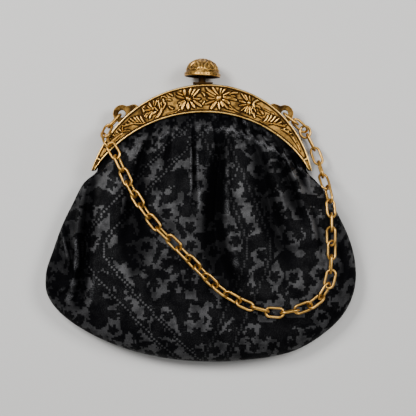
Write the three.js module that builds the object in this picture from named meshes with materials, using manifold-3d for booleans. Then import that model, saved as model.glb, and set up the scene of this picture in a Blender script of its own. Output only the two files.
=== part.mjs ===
// Evening purse in millimetres, lying on the flat back of its bag. +Z faces up through the front,
// +Y points from the bag's bottom to the press knob and +X to the right. Z = 0 is the floor.
import * as THREE from "three";
import { mergeVertices } from "three/addons/utils/BufferGeometryUtils.js";
import Module from "manifold-3d";

const wasm = await Module();
wasm.setup();

// Height of the plane where the two frame halves meet. The knob's axis and the ears lie on it too.
const PARTING_Z = 11.6;

// The frame is a crescent between two edges. Each edge is a pair of arcs that are level at the crown.
const OUTER_EDGE = { crown: [2.5, 96.5], left: [-69.8, 42.9], right: [66.7, 42.9] };
const INNER_EDGE = { crown: [0.6, 79.0], left: [-67.7, 43.3], right: [64.9, 43.3] };
const FRAME_RIM_Z = 5.55;
const FRAME_FLOOR_Z = 4.55;
const FRAME_UNDER_Z = 3.75;
const FRAME_LIP_Z = 0.15;
const FRAME_RIM = 1.9;
const FRAME_WALL = 1.2;
const FRAME_BEVEL = 0.6;
const CROSSBAR_T = 0.895;
const FRAME_STATIONS = [
  0, 0.06, 0.12, 0.19, 0.26, 0.33, 0.4, 0.47, 0.54, 0.61,
  0.68, 0.74, 0.8, 0.84, 0.872, 0.885, 0.905, 0.918, 0.96, 1,
];

// Cast flowers: where along the frame, how far across it, petal ring radius and number of petals.
const FLOWERS = [
  [-0.165, 0.5, 6.4, 10],
  [0.105, 0.5, 6.4, 10],
  [-0.43, 0.5, 5.2, 9],
  [0.385, 0.5, 5.2, 9],
];
const LEAF_STATIONS = [0.55, 0.61, 0.67, 0.73, 0.785, 0.835];
const RELIEF_SINK = 0.3;

// Ears for the chain: centre of the pierced lobe, radius, centre of the small lobe, radius.
const EARS = [
  { hole: [-51.1, 78.5], lobe: 5.7, second: [-43.9, 80.7], small: 4.0 },
  { hole: [50.2, 78.5], lobe: 5.6, second: [43.6, 81.2], small: 3.9 },
];
const EAR_HOLE = 2.2;
const EAR_THICK = 1.3;
const EAR_Z = PARTING_Z - FRAME_LIP_Z - EAR_THICK / 2;

// Press knob: underside of its rim, lean to the right, and the turned profile as radius and height.
const KNOB_SEAT = [-1.1, 101.4];
const KNOB_LEAN = THREE.MathUtils.degToRad(2.5);
const KNOB_PROFILE = [
  [0, -8.7], [2.2, -8.7], [2.2, 8.8], [5, 8.0], [7.6, 6.0], [8.8, 3.0], [9.0, 0.4], [9.6, 0], [10.7, 0],
  [11.25, 0.8], [11.25, 2.2], [10.6, 3], [9.8, 3.2], [9.5, 4.8], [8.4, 6.9], [6.2, 8.9], [3.4, 10.1],
  [0, 10.6],
];
const KNOB_LEAVES = 9;
const STEM_BORE = 2.6;
const STEM_BORE_LENGTH = 9;
const STEM_BORE_MIDDLE = -6;
const CATCH_PLATE = { size: [12.4, 1.0, 7.0], middle: [-0.7, 97.4, PARTING_Z] };

// Pins that hinge the two halves at the frame's tips: name and place along the frame.
const HINGE_PINS = [
  ["hinge_left", -0.97],
  ["hinge_right", 0.97],
];
const HINGE_PIN = 0.6;
const PIN_GAP = 0.3;

// Bag, one row per twentieth of the way along the mouth from left to right:
// outline x and y, height of the front, height of the back, height of the outline.
const BAG_ROWS = [
  [-67.6, 41.2, 15.0, 8.5, 11.6],
  [-75.2, 35.0, 18.0, 5.0, 11.4],
  [-81.6, 22.9, 22.5, 1.5, 10.8],
  [-88.2, 9.5, 26.0, 0, 10.2],
  [-94.0, -6.4, 28.0, 0, 10],
  [-98.6, -21.5, 28.5, 0, 10],
  [-96.8, -36.2, 28.5, 0, 10],
  [-84.0, -50.3, 29.5, 0, 10],
  [-60.0, -63.6, 31.5, 0, 10],
  [-31.0, -72.5, 33.5, 0, 10],
  [0.0, -75.9, 34.0, 0, 10],
  [29.0, -74.7, 33.5, 0, 10],
  [55.0, -69.6, 32.0, 0, 10],
  [74.5, -58.6, 30.5, 0, 10],
  [87.3, -45.8, 29.0, 0, 10],
  [93.8, -31.0, 28.0, 0, 10],
  [94.4, -15.5, 27.5, 0, 10],
  [90.8, 0.0, 26.0, 0, 10.2],
  [83.5, 15.8, 22.5, 1.5, 10.8],
  [74.5, 31.2, 18.0, 5.0, 11.4],
  [65.0, 41.2, 15.0, 8.5, 11.6],
];
const BAG_COLUMNS = 56;
const BAG_FRONT_STEPS = [0, 0.06, 0.16, 0.3, 0.48, 0.66, 0.82, 0.93, 0.98, 1];
const BAG_BACK_STEPS = [0.97, 0.88, 0.16, 0.04, 0];
const BAG_REACH = 0.9;
const BAG_WALL = 1.2;
const BAG_MOUTH_Z = 3.35;
const FRONT_SWELL = 0.42;
const FRONT_ROUNDNESS = 3.2;
const BACK_SETTLE = [0.04, 0.16];
const BACK_TURN = 0.88;
const GATHERS = 15;
const GATHER_RISE = 0.8;

// Deep folds of the front, each a line of points on the cloth with a depth and a half-width.
const FOLDS = [
  { depth: 8, width: 5, line: [[-71.6, 28.5], [-74, 3.2], [-76.1, -24.3], [-80.4, -50.9]] },
  { depth: 4.5, width: 5.5, line: [[-38.9, 69.3], [-40.8, 44.8], [-45, 21.7], [-49.8, -14.8]] },
  { depth: 2.5, width: 4, line: [[-20.3, 65.4], [-21.9, 52.2]] },
  { depth: 2.5, width: 4, line: [[-6.8, 67.3], [-6, 24.7]] },
  { depth: 7, width: 6, line: [[8, 69.3], [5.5, 49.1], [7.9, 16.2], [18.9, -28.7]] },
  { depth: 5, width: 5.5, line: [[28.4, 61.7], [34.2, 43.6], [48.7, 5.2], [53.6, -5.7]] },
  { depth: 4, width: 5, line: [[47.5, 49.4], [52.5, 32.7], [59.8, 10.7]] },
];

// Chain from the left ear to the right one: the middle of each link, its turn about its length from lying
// flat in degrees, and its height where it doesn't rest on the bag.
const CHAIN_LINKS = [
  [-55.7, 74, 86, 11.1], [-60.2, 67.7, -35, 15.3], [-60.3, 61.6, 63, 21.7], [-55.3, 54.9, -10, 24.4],
  [-51.6, 47, 66, 27.5], [-47.6, 38.6, -24], [-44.2, 31.4, 66], [-40.4, 25.2, -24], [-35.9, 18.2, 66],
  [-30.6, 11.2, -24], [-24.5, 4.4, 72], [-18.2, -1.1, -26], [-12.4, -7.7, 59], [-6.5, -13.1, -35],
  [-1.4, -18.9, 60], [3.9, -24, -38], [9.9, -29.8, 57, 33], [17.3, -34.3, -42, 31.6], [25.1, -38.7, 36],
  [33.9, -41.6, -80], [43, -43.7, 0], [52.3, -43.1, 90], [60.5, -40.9, -20], [68.4, -37.3, 48],
  [73.5, -30.8, -55], [77, -23.5, 8], [77.4, -14.5, 88], [77.9, -5.9, -31], [77.6, 2.7, 30],
  [77.9, 11, -88], [77.7, 19.6, -25, 24.2], [76.9, 28.3, 62, 21], [74.6, 36.2, -25, 16.2],
  [72.7, 43.9, 86, 11.2], [70.5, 52.4, -10, 7.6], [66.9, 61, 90, 6.4], [63.3, 67.4, -20, 7.2],
  [59.8, 71.3, 45, 9], [54.2, 75.4, 100, 10.7],
];
const RING_INDEX = 37;
const LINK = { straight: 2.87, bend: 2.75, wire: 0.72 };
const RING = { straight: 0, bend: 3.65, wire: 0.72 };
const CHAIN_LIFT = 3.65;

const SILK = new THREE.MeshStandardMaterial({ color: 0x2b2b2d, roughness: 0.55, metalness: 0 });
const CAST_GILT = new THREE.MeshStandardMaterial({ color: 0xb8904f, roughness: 0.38, metalness: 1 });
const CHAIN_GILT = new THREE.MeshStandardMaterial({ color: 0xd0a860, roughness: 0.3, metalness: 1 });
const PIN_BRASS = new THREE.MeshStandardMaterial({ color: 0x8c7040, roughness: 0.45, metalness: 1 });

const smooth = (from, to, value) => THREE.MathUtils.smoothstep(value, from, to);

// A closed mesh from points and triangles, turned so that its faces point out.
function closedGeometry(points, faces) {
  let volume = 0;
  for (let k = 0; k < faces.length; k += 3) {
    const [a, b, c] = [points[faces[k]], points[faces[k + 1]], points[faces[k + 2]]];
    volume += a.dot(b.clone().cross(c));
  }
  const geometry = new THREE.BufferGeometry().setFromPoints(points);
  geometry.setIndex(volume < 0 ? faces.toReversed() : faces);
  return geometry;
}

function solidOf(geometry) {
  const bare = new THREE.BufferGeometry();
  bare.setAttribute("position", geometry.getAttribute("position"));
  bare.setIndex(geometry.index);
  const welded = mergeVertices(bare, 1e-4);
  return new wasm.Manifold(
    new wasm.Mesh({
      numProp: 3,
      vertProperties: welded.getAttribute("position").array,
      triVerts: new Uint32Array(welded.index.array),
    }),
  );
}

function geometryOf(solid) {
  const mesh = solid.getMesh();
  const geometry = new THREE.BufferGeometry();
  geometry.setAttribute("position", new THREE.Float32BufferAttribute(mesh.vertProperties, 3));
  geometry.setIndex(new THREE.Uint32BufferAttribute(mesh.triVerts, 1));
  return geometry;
}

function edgePoint(edge, t) {
  const tip = t < 0 ? edge.left : edge.right;
  const run = tip[0] - edge.crown[0];
  const drop = edge.crown[1] - tip[1];
  const radius = (run * run + drop * drop) / (2 * drop);
  const turn = Math.abs(t) * Math.atan2(Math.abs(run), radius - drop);
  return new THREE.Vector2(
    edge.crown[0] + Math.sign(run) * radius * Math.sin(turn),
    edge.crown[1] - radius * (1 - Math.cos(turn)),
  );
}

// Joins rings of points into a closed bar. Each end is a fan about the ring's inner corner.
function barOf(rings, corner) {
  const count = rings[0].length;
  const last = (rings.length - 1) * count;
  const faces = [];
  for (let start = 0; start < last; start += count) {
    for (let i = 0; i < count; i++) {
      const a = start + i;
      const b = start + ((i + 1) % count);
      faces.push(a, b, b + count, a, b + count, a + count);
    }
  }
  for (let k = 1; k + 1 < count; k++) {
    const b = (corner + k) % count;
    const c = (corner + k + 1) % count;
    faces.push(corner, c, b, last + corner, last + b, last + c);
  }
  return closedGeometry(rings.flat(), faces);
}

// One half of the frame: a face plate with two raised rims, a crossbar near each tip and an outer wall.
function frameHalf(side) {
  const half = FRAME_STATIONS.filter((t, k) => side > 0 || t > 0.8 || k % 2 === 0);
  const stations = [...half.slice(1).map((t) => -t).toReversed(), ...half];
  const rings = stations.map((t) => {
    const outer = edgePoint(OUTER_EDGE, t);
    const inner = edgePoint(INNER_EDGE, t);
    const width = outer.distanceTo(inner);
    const rim = Math.min(FRAME_RIM, 0.3 * width);
    const wall = Math.min(FRAME_WALL, 0.25 * width);
    const bar = 1 - smooth(0.008, 0.024, Math.abs(Math.abs(t) - CROSSBAR_T));
    const tongue = 0.6 * smooth(CROSSBAR_T, CROSSBAR_T + 0.03, Math.abs(t));
    const floor = FRAME_FLOOR_Z + (FRAME_RIM_Z - FRAME_FLOOR_Z) * Math.max(bar, tongue);
    const shoulder = FRAME_RIM_Z - FRAME_BEVEL;
    const section = [
      [0, FRAME_LIP_Z], [0, shoulder], [0.3 * rim, FRAME_RIM_Z], [0.75 * rim, FRAME_RIM_Z], [rim, floor],
      [width - rim, floor], [width - 0.75 * rim, FRAME_RIM_Z], [width - 0.3 * rim, FRAME_RIM_Z],
      [width, shoulder], [width, FRAME_UNDER_Z], [wall, FRAME_UNDER_Z], [wall, FRAME_LIP_Z],
    ];
    return section.map(([across, rise]) => {
      const point = outer.clone().lerp(inner, across / width);
      return new THREE.Vector3(point.x, point.y, PARTING_Z + side * rise);
    });
  });
  return solidOf(barOf(rings, 10));
}

// A pointed boss of the cast relief. Its foot is sunk into the metal below.
function boss(length, width, rise, sides) {
  return new THREE.ConeGeometry(1, 1, sides)
    .rotateX(Math.PI / 2)
    .translate(0, 0, 0.5)
    .scale(length / 2, width / 2, rise + RELIEF_SINK)
    .translate(0, 0, -RELIEF_SINK);
}

function frameRelief() {
  const faceZ = PARTING_Z + FRAME_FLOOR_Z;
  const bosses = [];
  for (const [t, across, radius, petals] of FLOWERS) {
    const centre = edgePoint(OUTER_EDGE, t).lerp(edgePoint(INNER_EDGE, t), across);
    bosses.push(boss(3.6, 3.6, 1.5, 8).translate(centre.x, centre.y, faceZ));
    for (let k = 0; k < petals; k++) {
      bosses.push(
        boss(0.86 * radius, 0.42 * radius, 1.1, 4)
          .translate(0.58 * radius, 0, 0)
          .rotateZ((2 * Math.PI * k) / petals)
          .translate(centre.x, centre.y, faceZ),
      );
    }
  }
  for (const side of [-1, 1]) {
    for (const station of LEAF_STATIONS) {
      const outer = edgePoint(OUTER_EDGE, side * station);
      const inner = edgePoint(INNER_EDGE, side * station);
      const width = outer.distanceTo(inner);
      const along = edgePoint(OUTER_EDGE, side * (station + 0.02)).sub(outer).angle();
      for (const [across, swing] of [[0.36, 0.6], [0.64, -0.6]]) {
        const spot = outer.clone().lerp(inner, across);
        bosses.push(
          boss(0.42 * width, 0.2 * width, 0.9, 4)
            .rotateZ(along + side * swing)
            .translate(spot.x, spot.y, faceZ),
        );
      }
    }
  }
  return bosses.map(solidOf);
}

function disc(radius, thick, sides, x, y, z) {
  return new THREE.CylinderGeometry(radius, radius, thick, sides).rotateX(Math.PI / 2).translate(x, y, z);
}

function ear({ hole, lobe, second, small }) {
  const plate = solidOf(disc(lobe, EAR_THICK, 18, ...hole, EAR_Z)).add(
    solidOf(disc(small, EAR_THICK, 14, ...second, EAR_Z)),
  );
  return plate.subtract(solidOf(disc(EAR_HOLE, EAR_THICK + 2, 12, ...hole, EAR_Z)));
}

function pressKnob() {
  const profile = KNOB_PROFILE.map(([radius, height]) => new THREE.Vector2(radius, height));
  const turned = solidOf(new THREE.LatheGeometry(profile, 16));
  const leaves = [];
  for (let k = 0; k < KNOB_LEAVES; k++) {
    const leaf = boss(5.2, 4.4, 0.8, 4)
      .rotateX(-Math.PI / 2)
      .rotateZ(-0.67)
      .translate(7.1, 8.15, 0)
      .rotateY((2 * Math.PI * (k + 0.5)) / KNOB_LEAVES);
    leaves.push(solidOf(leaf));
  }
  return wasm.Manifold.union([turned, ...leaves]);
}

function bagRow(along) {
  const last = BAG_ROWS.length - 1;
  const place = along * last;
  const k = Math.min(Math.floor(place), last - 1);
  const rows = [-1, 0, 1, 2].map((step) => BAG_ROWS[THREE.MathUtils.clamp(k + step, 0, last)]);
  const f = place - k;
  return rows[0].map((_, column) => {
    const [a, b, c, d] = rows.map((row) => row[column]);
    return b + 0.5 * f * (c - a + f * (2 * a - 5 * b + 4 * c - d + f * (3 * (b - c) + d - a)));
  });
}

function foldDepth(x, y) {
  const point = new THREE.Vector3(x, y, 0);
  const nearest = new THREE.Vector3();
  let depth = 0;
  for (const fold of FOLDS) {
    let distance = Infinity;
    for (let k = 0; k + 1 < fold.line.length; k++) {
      const ends = [k, k + 1].map((i) => new THREE.Vector3(...fold.line[i], 0));
      new THREE.Line3(...ends).closestPointToPoint(point, true, nearest);
      distance = Math.min(distance, nearest.distanceTo(point));
    }
    depth += fold.depth * Math.exp(-((distance / fold.width) ** 2));
  }
  return depth;
}

// A point of the cloth's outer face: `along` the mouth, `reach` from the frame (0) to the outline (1).
function bagPoint(along, reach, front) {
  const t = BAG_REACH * (2 * along - 1);
  const [edgeX, edgeY, crest, floor, edgeZ] = bagRow(along);
  const exit = edgePoint(INNER_EDGE, t);
  const edge = new THREE.Vector2(edgeX, edgeY);
  const hang = new THREE.Vector2(exit.x, exit.y - 0.5 * exit.distanceTo(edge));
  const plan = exit
    .clone()
    .multiplyScalar((1 - reach) ** 2)
    .addScaledVector(hang, 2 * reach * (1 - reach))
    .addScaledVector(edge, reach ** 2);
  if (!front) {
    const leave = PARTING_Z - BAG_MOUTH_Z;
    const turn = Math.max(0, (reach - BACK_TURN) / (1 - BACK_TURN));
    const turnUp = (edgeZ - floor) * (1 - Math.sqrt(1 - turn ** 2));
    const settle = (leave - floor) * (1 - smooth(...BACK_SETTLE, reach));
    return new THREE.Vector3(plan.x, plan.y, Math.max(0, floor) + settle + turnUp);
  }
  const leave = PARTING_Z + BAG_MOUTH_Z;
  const swell = leave + (crest - leave) * smooth(0, FRONT_SWELL, reach);
  const fromTips = smooth(0, 0.08, along * (1 - along));
  const creased = fromTips * smooth(0.05, 0.3, reach) * (1 - smooth(0.93, 1, reach));
  const gathered = fromTips * smooth(0.02, 0.1, reach) * (1 - smooth(0.15, 0.4, reach));
  const z =
    edgeZ +
    (swell - edgeZ) * Math.sqrt(1 - reach ** FRONT_ROUNDNESS) -
    creased * foldDepth(plan.x, plan.y) +
    gathered * GATHER_RISE * Math.cos(2 * Math.PI * GATHERS * along);
  return new THREE.Vector3(plan.x, plan.y, z);
}

// The seam of the cloth inside the frame.
function bagSeam(along, front) {
  const t = BAG_REACH * (2 * along - 1);
  const inner = edgePoint(INNER_EDGE, t);
  const outer = edgePoint(OUTER_EDGE, t);
  const width = inner.distanceTo(outer);
  const tuck = THREE.MathUtils.clamp(0.45 * (width - 1.2), 0.3, 5);
  const seam = inner.lerp(outer, tuck / width);
  return new THREE.Vector3(seam.x, seam.y, PARTING_Z + (front ? BAG_MOUTH_Z : -BAG_MOUTH_Z));
}

// One cloth from the front seam down the front, round the outline and up the back, with an open mouth.
function bag() {
  const rows = BAG_FRONT_STEPS.length + BAG_BACK_STEPS.length + 2;
  const outside = [];
  for (let i = 0; i <= BAG_COLUMNS; i++) {
    const along = i / BAG_COLUMNS;
    outside.push(
      bagSeam(along, true),
      ...BAG_FRONT_STEPS.map((reach) => bagPoint(along, reach, true)),
      ...BAG_BACK_STEPS.map((reach) => bagPoint(along, reach, false)),
      bagSeam(along, false),
    );
  }
  const sheet = [];
  for (let i = 0; i < BAG_COLUMNS; i++) {
    for (let j = 0; j + 1 < rows; j++) {
      const a = i * rows + j;
      sheet.push(a, a + 1, a + rows, a + 1, a + rows + 1, a + rows);
    }
  }
  const face = new THREE.BufferGeometry().setFromPoints(outside).setIndex(sheet);
  face.computeVertexNormals();
  const normals = face.getAttribute("normal");
  const sign = normals.getZ(BAG_FRONT_STEPS.length - 4) > 0 ? -1 : 1;
  const inside = outside.map((point, k) => {
    const normal = new THREE.Vector3().fromBufferAttribute(normals, k);
    return point.clone().addScaledVector(normal, sign * BAG_WALL);
  });
  const shift = outside.length;
  const faces = [...sheet];
  for (let k = 0; k < sheet.length; k += 3) {
    faces.push(sheet[k] + shift, sheet[k + 2] + shift, sheet[k + 1] + shift);
  }
  const hem = [];
  for (let j = 0; j + 1 < rows; j++) hem.push(j);
  for (let i = 0; i < BAG_COLUMNS; i++) hem.push(i * rows + rows - 1);
  for (let j = rows - 1; j > 0; j--) hem.push(BAG_COLUMNS * rows + j);
  for (let i = BAG_COLUMNS; i > 0; i--) hem.push(i * rows);
  hem.forEach((a, k) => {
    const b = hem[(k + 1) % hem.length];
    faces.push(b, a, a + shift, b, a + shift, b + shift);
  });
  return closedGeometry([...outside, ...inside], faces);
}

// A wire loop in the XY plane: a ring whose two halves are drawn apart along X.
function wireLoop({ straight, bend, wire }) {
  const loop = new THREE.TorusGeometry(bend, wire, 5, 10);
  const position = loop.getAttribute("position");
  for (let k = 0; k < position.count; k++) {
    position.setX(k, position.getX(k) + straight * Math.sign(position.getX(k)));
  }
  return loop;
}

function linkMiddles(below) {
  const down = new THREE.Vector3(0, 0, -1);
  return CHAIN_LINKS.map(([x, y, , z]) => {
    if (z !== undefined) return new THREE.Vector3(x, y, z);
    let top = 0;
    for (let k = 0; k < 12; k++) {
      const angle = (Math.PI * k) / 6;
      const reach = k % 2 ? 7 : 3.5;
      const from = new THREE.Vector3(x + reach * Math.cos(angle), y + reach * Math.sin(angle), 100);
      const hits = new THREE.Raycaster(from, down).intersectObjects(below, false);
      if (hits.length) top = Math.max(top, hits[0].point.z);
    }
    return new THREE.Vector3(x, y, top + CHAIN_LIFT);
  });
}

// Each link points along the chain between the places midway to its neighbours. The end links point at the ears.
function chain(below) {
  const middles = linkMiddles(below);
  const [first, last] = EARS.map(({ hole }) => new THREE.Vector3(...hole, EAR_Z));
  const between = middles.slice(1).map((middle, k) => middle.clone().lerp(middles[k], 0.5));
  const joints = [first, ...between, last];
  return middles.map((middle, k) => {
    const along = joints[k + 1].clone().sub(joints[k]).normalize();
    const side = along.clone().cross(new THREE.Vector3(0, 0, 1)).normalize();
    const up = side.clone().cross(along);
    const turn = THREE.MathUtils.degToRad(CHAIN_LINKS[k][2]);
    const across = side.multiplyScalar(Math.cos(turn)).addScaledVector(up, Math.sin(turn));
    const basis = new THREE.Matrix4().makeBasis(along, across, along.clone().cross(across));
    const loop = wireLoop(k + 1 === RING_INDEX ? RING : LINK);
    const mesh = meshOf(`link_${String(k + 1).padStart(2, "0")}`, loop, CHAIN_GILT);
    mesh.position.copy(middle);
    mesh.quaternion.setFromRotationMatrix(basis);
    return mesh;
  });
}

function meshOf(name, geometry, material) {
  const mesh = new THREE.Mesh(geometry, material);
  mesh.name = name;
  return mesh;
}

const knob = new THREE.Group();
knob.position.set(...KNOB_SEAT, PARTING_Z);
knob.rotation.z = -KNOB_LEAN;
knob.updateMatrix();
knob.add(meshOf("press_knob", geometryOf(pressKnob()), CAST_GILT));

const bore = new THREE.CylinderGeometry(STEM_BORE, STEM_BORE, STEM_BORE_LENGTH, 16);
const stemBore = solidOf(bore.translate(0, STEM_BORE_MIDDLE, 0).applyMatrix4(knob.matrix));
const front = wasm.Manifold.union([frameHalf(1), ...frameRelief()]).subtract(stemBore);
const back = wasm.Manifold.union([frameHalf(-1), ...EARS.map(ear)]).subtract(stemBore);
const plate = solidOf(new THREE.BoxGeometry(...CATCH_PLATE.size).translate(...CATCH_PLATE.middle));

const frame = new THREE.Group();
frame.add(
  meshOf("frame_front", geometryOf(front), CAST_GILT),
  meshOf("frame_back", geometryOf(back), CAST_GILT),
  meshOf("catch_plate", geometryOf(plate.subtract(stemBore)), CAST_GILT),
);
for (const [name, t] of HINGE_PINS) {
  const spot = edgePoint(OUTER_EDGE, t).lerp(edgePoint(INNER_EDGE, t), 0.62);
  const pin = meshOf(name, disc(HINGE_PIN, 2 * (FRAME_UNDER_Z - PIN_GAP), 10, 0, 0, 0), PIN_BRASS);
  pin.position.set(spot.x, spot.y, PARTING_Z);
  frame.add(pin);
}

const cloth = meshOf("bag", bag(), SILK);
const links = new THREE.Group();
links.add(...chain([cloth, ...frame.children]));

const purse = new THREE.Group();
purse.add(cloth, frame, knob, links);

export default purse;
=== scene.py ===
import bpy
import numpy as np
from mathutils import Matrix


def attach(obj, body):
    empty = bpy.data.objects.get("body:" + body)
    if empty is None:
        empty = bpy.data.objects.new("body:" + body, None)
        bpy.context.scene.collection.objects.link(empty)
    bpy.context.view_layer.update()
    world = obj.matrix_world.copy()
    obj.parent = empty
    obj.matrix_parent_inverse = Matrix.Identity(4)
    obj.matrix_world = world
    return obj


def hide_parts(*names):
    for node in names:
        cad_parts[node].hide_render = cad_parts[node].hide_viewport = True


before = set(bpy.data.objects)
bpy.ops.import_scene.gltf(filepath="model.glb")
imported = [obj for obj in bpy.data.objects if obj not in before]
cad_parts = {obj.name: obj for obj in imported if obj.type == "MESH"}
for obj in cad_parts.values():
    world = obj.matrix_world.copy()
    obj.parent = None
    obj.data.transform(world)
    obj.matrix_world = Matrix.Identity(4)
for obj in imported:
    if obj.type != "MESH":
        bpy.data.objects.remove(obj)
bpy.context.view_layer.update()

# The bag is one length of black figured silk, folded at the bottom and sewn up the sides. Its mouth is
# gathered into the frame, and it lies on its back with the cloth creased by years of hanging.
MM = 0.001
# Height of the plane where the frame's halves meet, and the crown, left tip and right tip of its edges.
PARTING_Z = 11.6
OUTER_EDGE = ((2.5, 96.5), (-69.8, 42.9), (66.7, 42.9))
INNER_EDGE = ((0.6, 79.0), (-67.7, 43.3), (64.9, 43.3))
# Outline of the bag from left to right: x and y, then the heights of the front, the back and the outline.
BAG_ROWS = np.array([
    (-67.6, 41.2, 15.0, 8.5, 11.6),
    (-75.2, 35.0, 18.0, 5.0, 11.4),
    (-81.6, 22.9, 22.5, 1.5, 10.8),
    (-88.2, 9.5, 26.0, 0, 10.2),
    (-94.0, -6.4, 28.0, 0, 10),
    (-98.6, -21.5, 28.5, 0, 10),
    (-96.8, -36.2, 28.5, 0, 10),
    (-84.0, -50.3, 29.5, 0, 10),
    (-60.0, -63.6, 31.5, 0, 10),
    (-31.0, -72.5, 33.5, 0, 10),
    (0.0, -75.9, 34.0, 0, 10),
    (29.0, -74.7, 33.5, 0, 10),
    (55.0, -69.6, 32.0, 0, 10),
    (74.5, -58.6, 30.5, 0, 10),
    (87.3, -45.8, 29.0, 0, 10),
    (93.8, -31.0, 28.0, 0, 10),
    (94.4, -15.5, 27.5, 0, 10),
    (90.8, 0.0, 26.0, 0, 10.2),
    (83.5, 15.8, 22.5, 1.5, 10.8),
    (74.5, 31.2, 18.0, 5.0, 11.4),
    (65.0, 41.2, 15.0, 8.5, 11.6),
])
# Folds of the front, each from the frame down: x, y, depth, and how far it spreads to its left and right.
FOLDS = (
    ((-68.1, 41.5, 2, 3, 5), (-71.0, 30.9, 5, 2.6, 4.6), (-73.0, 15.1, 8, 2, 4.2),
     (-75.0, -4.4, 9.5, 1.8, 4.4), (-76.4, -23.9, 9, 1.8, 4.4), (-77.9, -35, 5, 2.6, 4.4),
     (-79.3, -48, 0, 4, 5)),
    ((-86.9, 10, 0, 1.1, 2), (-84.8, 0.4, 4, 1.1, 2.4), (-82.0, -9, 4.5, 1.1, 2.6),
     (-80.8, -18, 3.4, 1.2, 2.2), (-81.0, -27, 0, 1.4, 2)),
    ((-78.6, -28, 0, 2.6, 3.4), (-83, -31, 2.6, 2.6, 3.4), (-88, -34, 2.6, 2.6, 3.4),
     (-92, -36.5, 0, 2.6, 3)),
    ((-32.5, 69, 4, 1, 1.4), (-36.9, 57, 4.4, 1.2, 1.7), (-39.4, 48.4, 5, 2.4, 3.2),
     (-41.8, 31.7, 6, 4.2, 5.2), (-44.7, 19, 7, 5.5, 7.5), (-46.2, 5.4, 6.5, 6, 10),
     (-44.7, -10.2, 4.5, 6, 11), (-41.8, -30, 0, 6, 10)),
    ((-20.2, 73, 4, 0.8, 1.2), (-21.4, 62, 4.2, 0.9, 1.3), (-22.8, 54, 3, 1.2, 1.8),
     (-24.5, 40, 0, 2, 3)),
    ((-6.8, 76, 3.8, 0.8, 1.1), (-6.4, 52, 4.2, 0.8, 1.2), (-6, 32, 3.4, 0.9, 1.4),
     (-6, 14, 0, 1.5, 2)),
    ((4.8, 76, 3, 0.9, 1), (6.6, 68, 3.4, 1, 1.1), (8, 61, 2, 1.2, 1.2), (9.2, 54, 0, 1.5, 1.5)),
    ((9.6, 76, 4.6, 2.2, 1.8), (10.4, 54.4, 8, 3.4, 2.4), (8.0, 34.2, 10, 4.4, 3),
     (6.4, 8.8, 10.5, 6, 4), (9.2, -11.4, 9, 7.4, 5), (14.8, -24, 5.5, 7, 6), (18.5, -38, 2, 7, 7),
     (20, -52, 0, 7, 7)),
    ((24.5, 72, 2.6, 1.2, 1.6), (26.2, 60, 2.8, 1.3, 1.8), (28, 50, 0, 1.6, 2)),
    ((31, 66, 3, 2.2, 2), (35.1, 49.3, 5.6, 4.6, 3), (37.7, 34.2, 7.2, 5.8, 3.4),
     (41.2, 18.9, 7, 6.4, 3.8), (46.3, 3.7, 5, 6.6, 4.5), (51.3, -11.4, 3, 6, 5), (52.4, -28, 0, 6, 5)),
    ((46, 52, 3, 2.2, 1.6), (48.3, 46.5, 4.4, 2.8, 1.8), (52.4, 37.3, 6, 3.4, 2),
     (55.4, 27.2, 5.6, 3.8, 2.2), (58.5, 16.8, 3.4, 3.8, 2.6), (61.5, 6, 0, 4, 3)),
    ((52.4, 54.4, 2, 1.8, 1.6), (56.5, 46.3, 3.6, 2.2, 1.8), (61.6, 37.2, 3.4, 2.4, 1.8),
     (65.5, 27, 0, 3, 2)),
    ((66, 22, 0, 1.6, 1.6), (69, 12, 2.6, 1.6, 2.2), (71.6, 0, 2.4, 1.8, 2.6), (72.6, -12, 0, 2, 3)),
    ((81, 12, 0, 2.5, 2.5), (84.3, -4, 2, 2.5, 2.5), (86.6, -20, 1.6, 3, 2.5), (86, -32, 0, 3, 2.5)),
    ((9.8, -52, 0, 3, 3), (9.8, -62, 1.6, 3, 3), (9.9, -70, 1.2, 3, 3), (9.9, -76, 0, 3, 3)),
)
# Steps of the cloth across the bag, down its front and up its back, drawn together towards the outline.
BAG_ACROSS, BAG_FRONT, BAG_BACK = 340, 200, 78
STEP_CLOSING = 1.7
# Share of the frame's length that the mouth fills, and how far its sides stand off the parting plane.
BAG_REACH, BAG_MOUTH_Z = 0.965, 3.35
LATTICE = 256


def smooth(start, end, value):
    """Smoothstep: 0 before start, 1 after end, and the cubic 3s^2 - 2s^3 between them."""
    s = np.clip((value - start) / (end - start), 0, 1)
    return s * s * (3 - 2 * s)


def edge_point(edge, t):
    """Point of a frame edge: an arc to each side, level at the crown, that ends in its tip at |t| = 1."""
    crown, left, right = np.array(edge)
    tip = np.where((t < 0)[..., None], left, right)
    run = tip[..., 0] - crown[0]
    drop = crown[1] - tip[..., 1]
    radius = (run**2 + drop**2) / (2 * drop)
    turn = np.abs(t) * np.arctan2(np.abs(run), radius - drop)
    x = crown[0] + np.sign(run) * radius * np.sin(turn)
    return np.stack([x, crown[1] - radius * (1 - np.cos(turn))], axis=-1)


def grid_quads(rows, columns, closed=False):
    """Quads of a grid of points in row order. A closed grid also joins the two ends of each row."""
    index = np.arange(rows * columns).reshape(rows, columns)
    right = np.roll(index, -1, axis=1)
    quads = np.stack([index[:-1], right[:-1], right[1:], index[1:]], axis=-1)
    return (quads if closed else quads[:, :-1]).reshape(-1, 4)


def add_mesh(name, points, faces, **attributes):
    """Smooth-shaded object from points in millimetres, with any named values for its points."""
    mesh = bpy.data.meshes.new(name)
    mesh.from_pydata((points * MM).tolist(), [], faces)
    mesh.shade_smooth()
    for key, values in attributes.items():
        flat = np.ascontiguousarray(values, dtype=np.float32)
        kind, field = ("FLOAT", "value") if flat.ndim == 1 else ("FLOAT_VECTOR", "vector")
        mesh.attributes.new(key, kind, "POINT").data.foreach_set(field, flat.ravel())
    piece = bpy.data.objects.new(name, mesh)
    bpy.context.scene.collection.objects.link(piece)
    return piece


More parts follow.
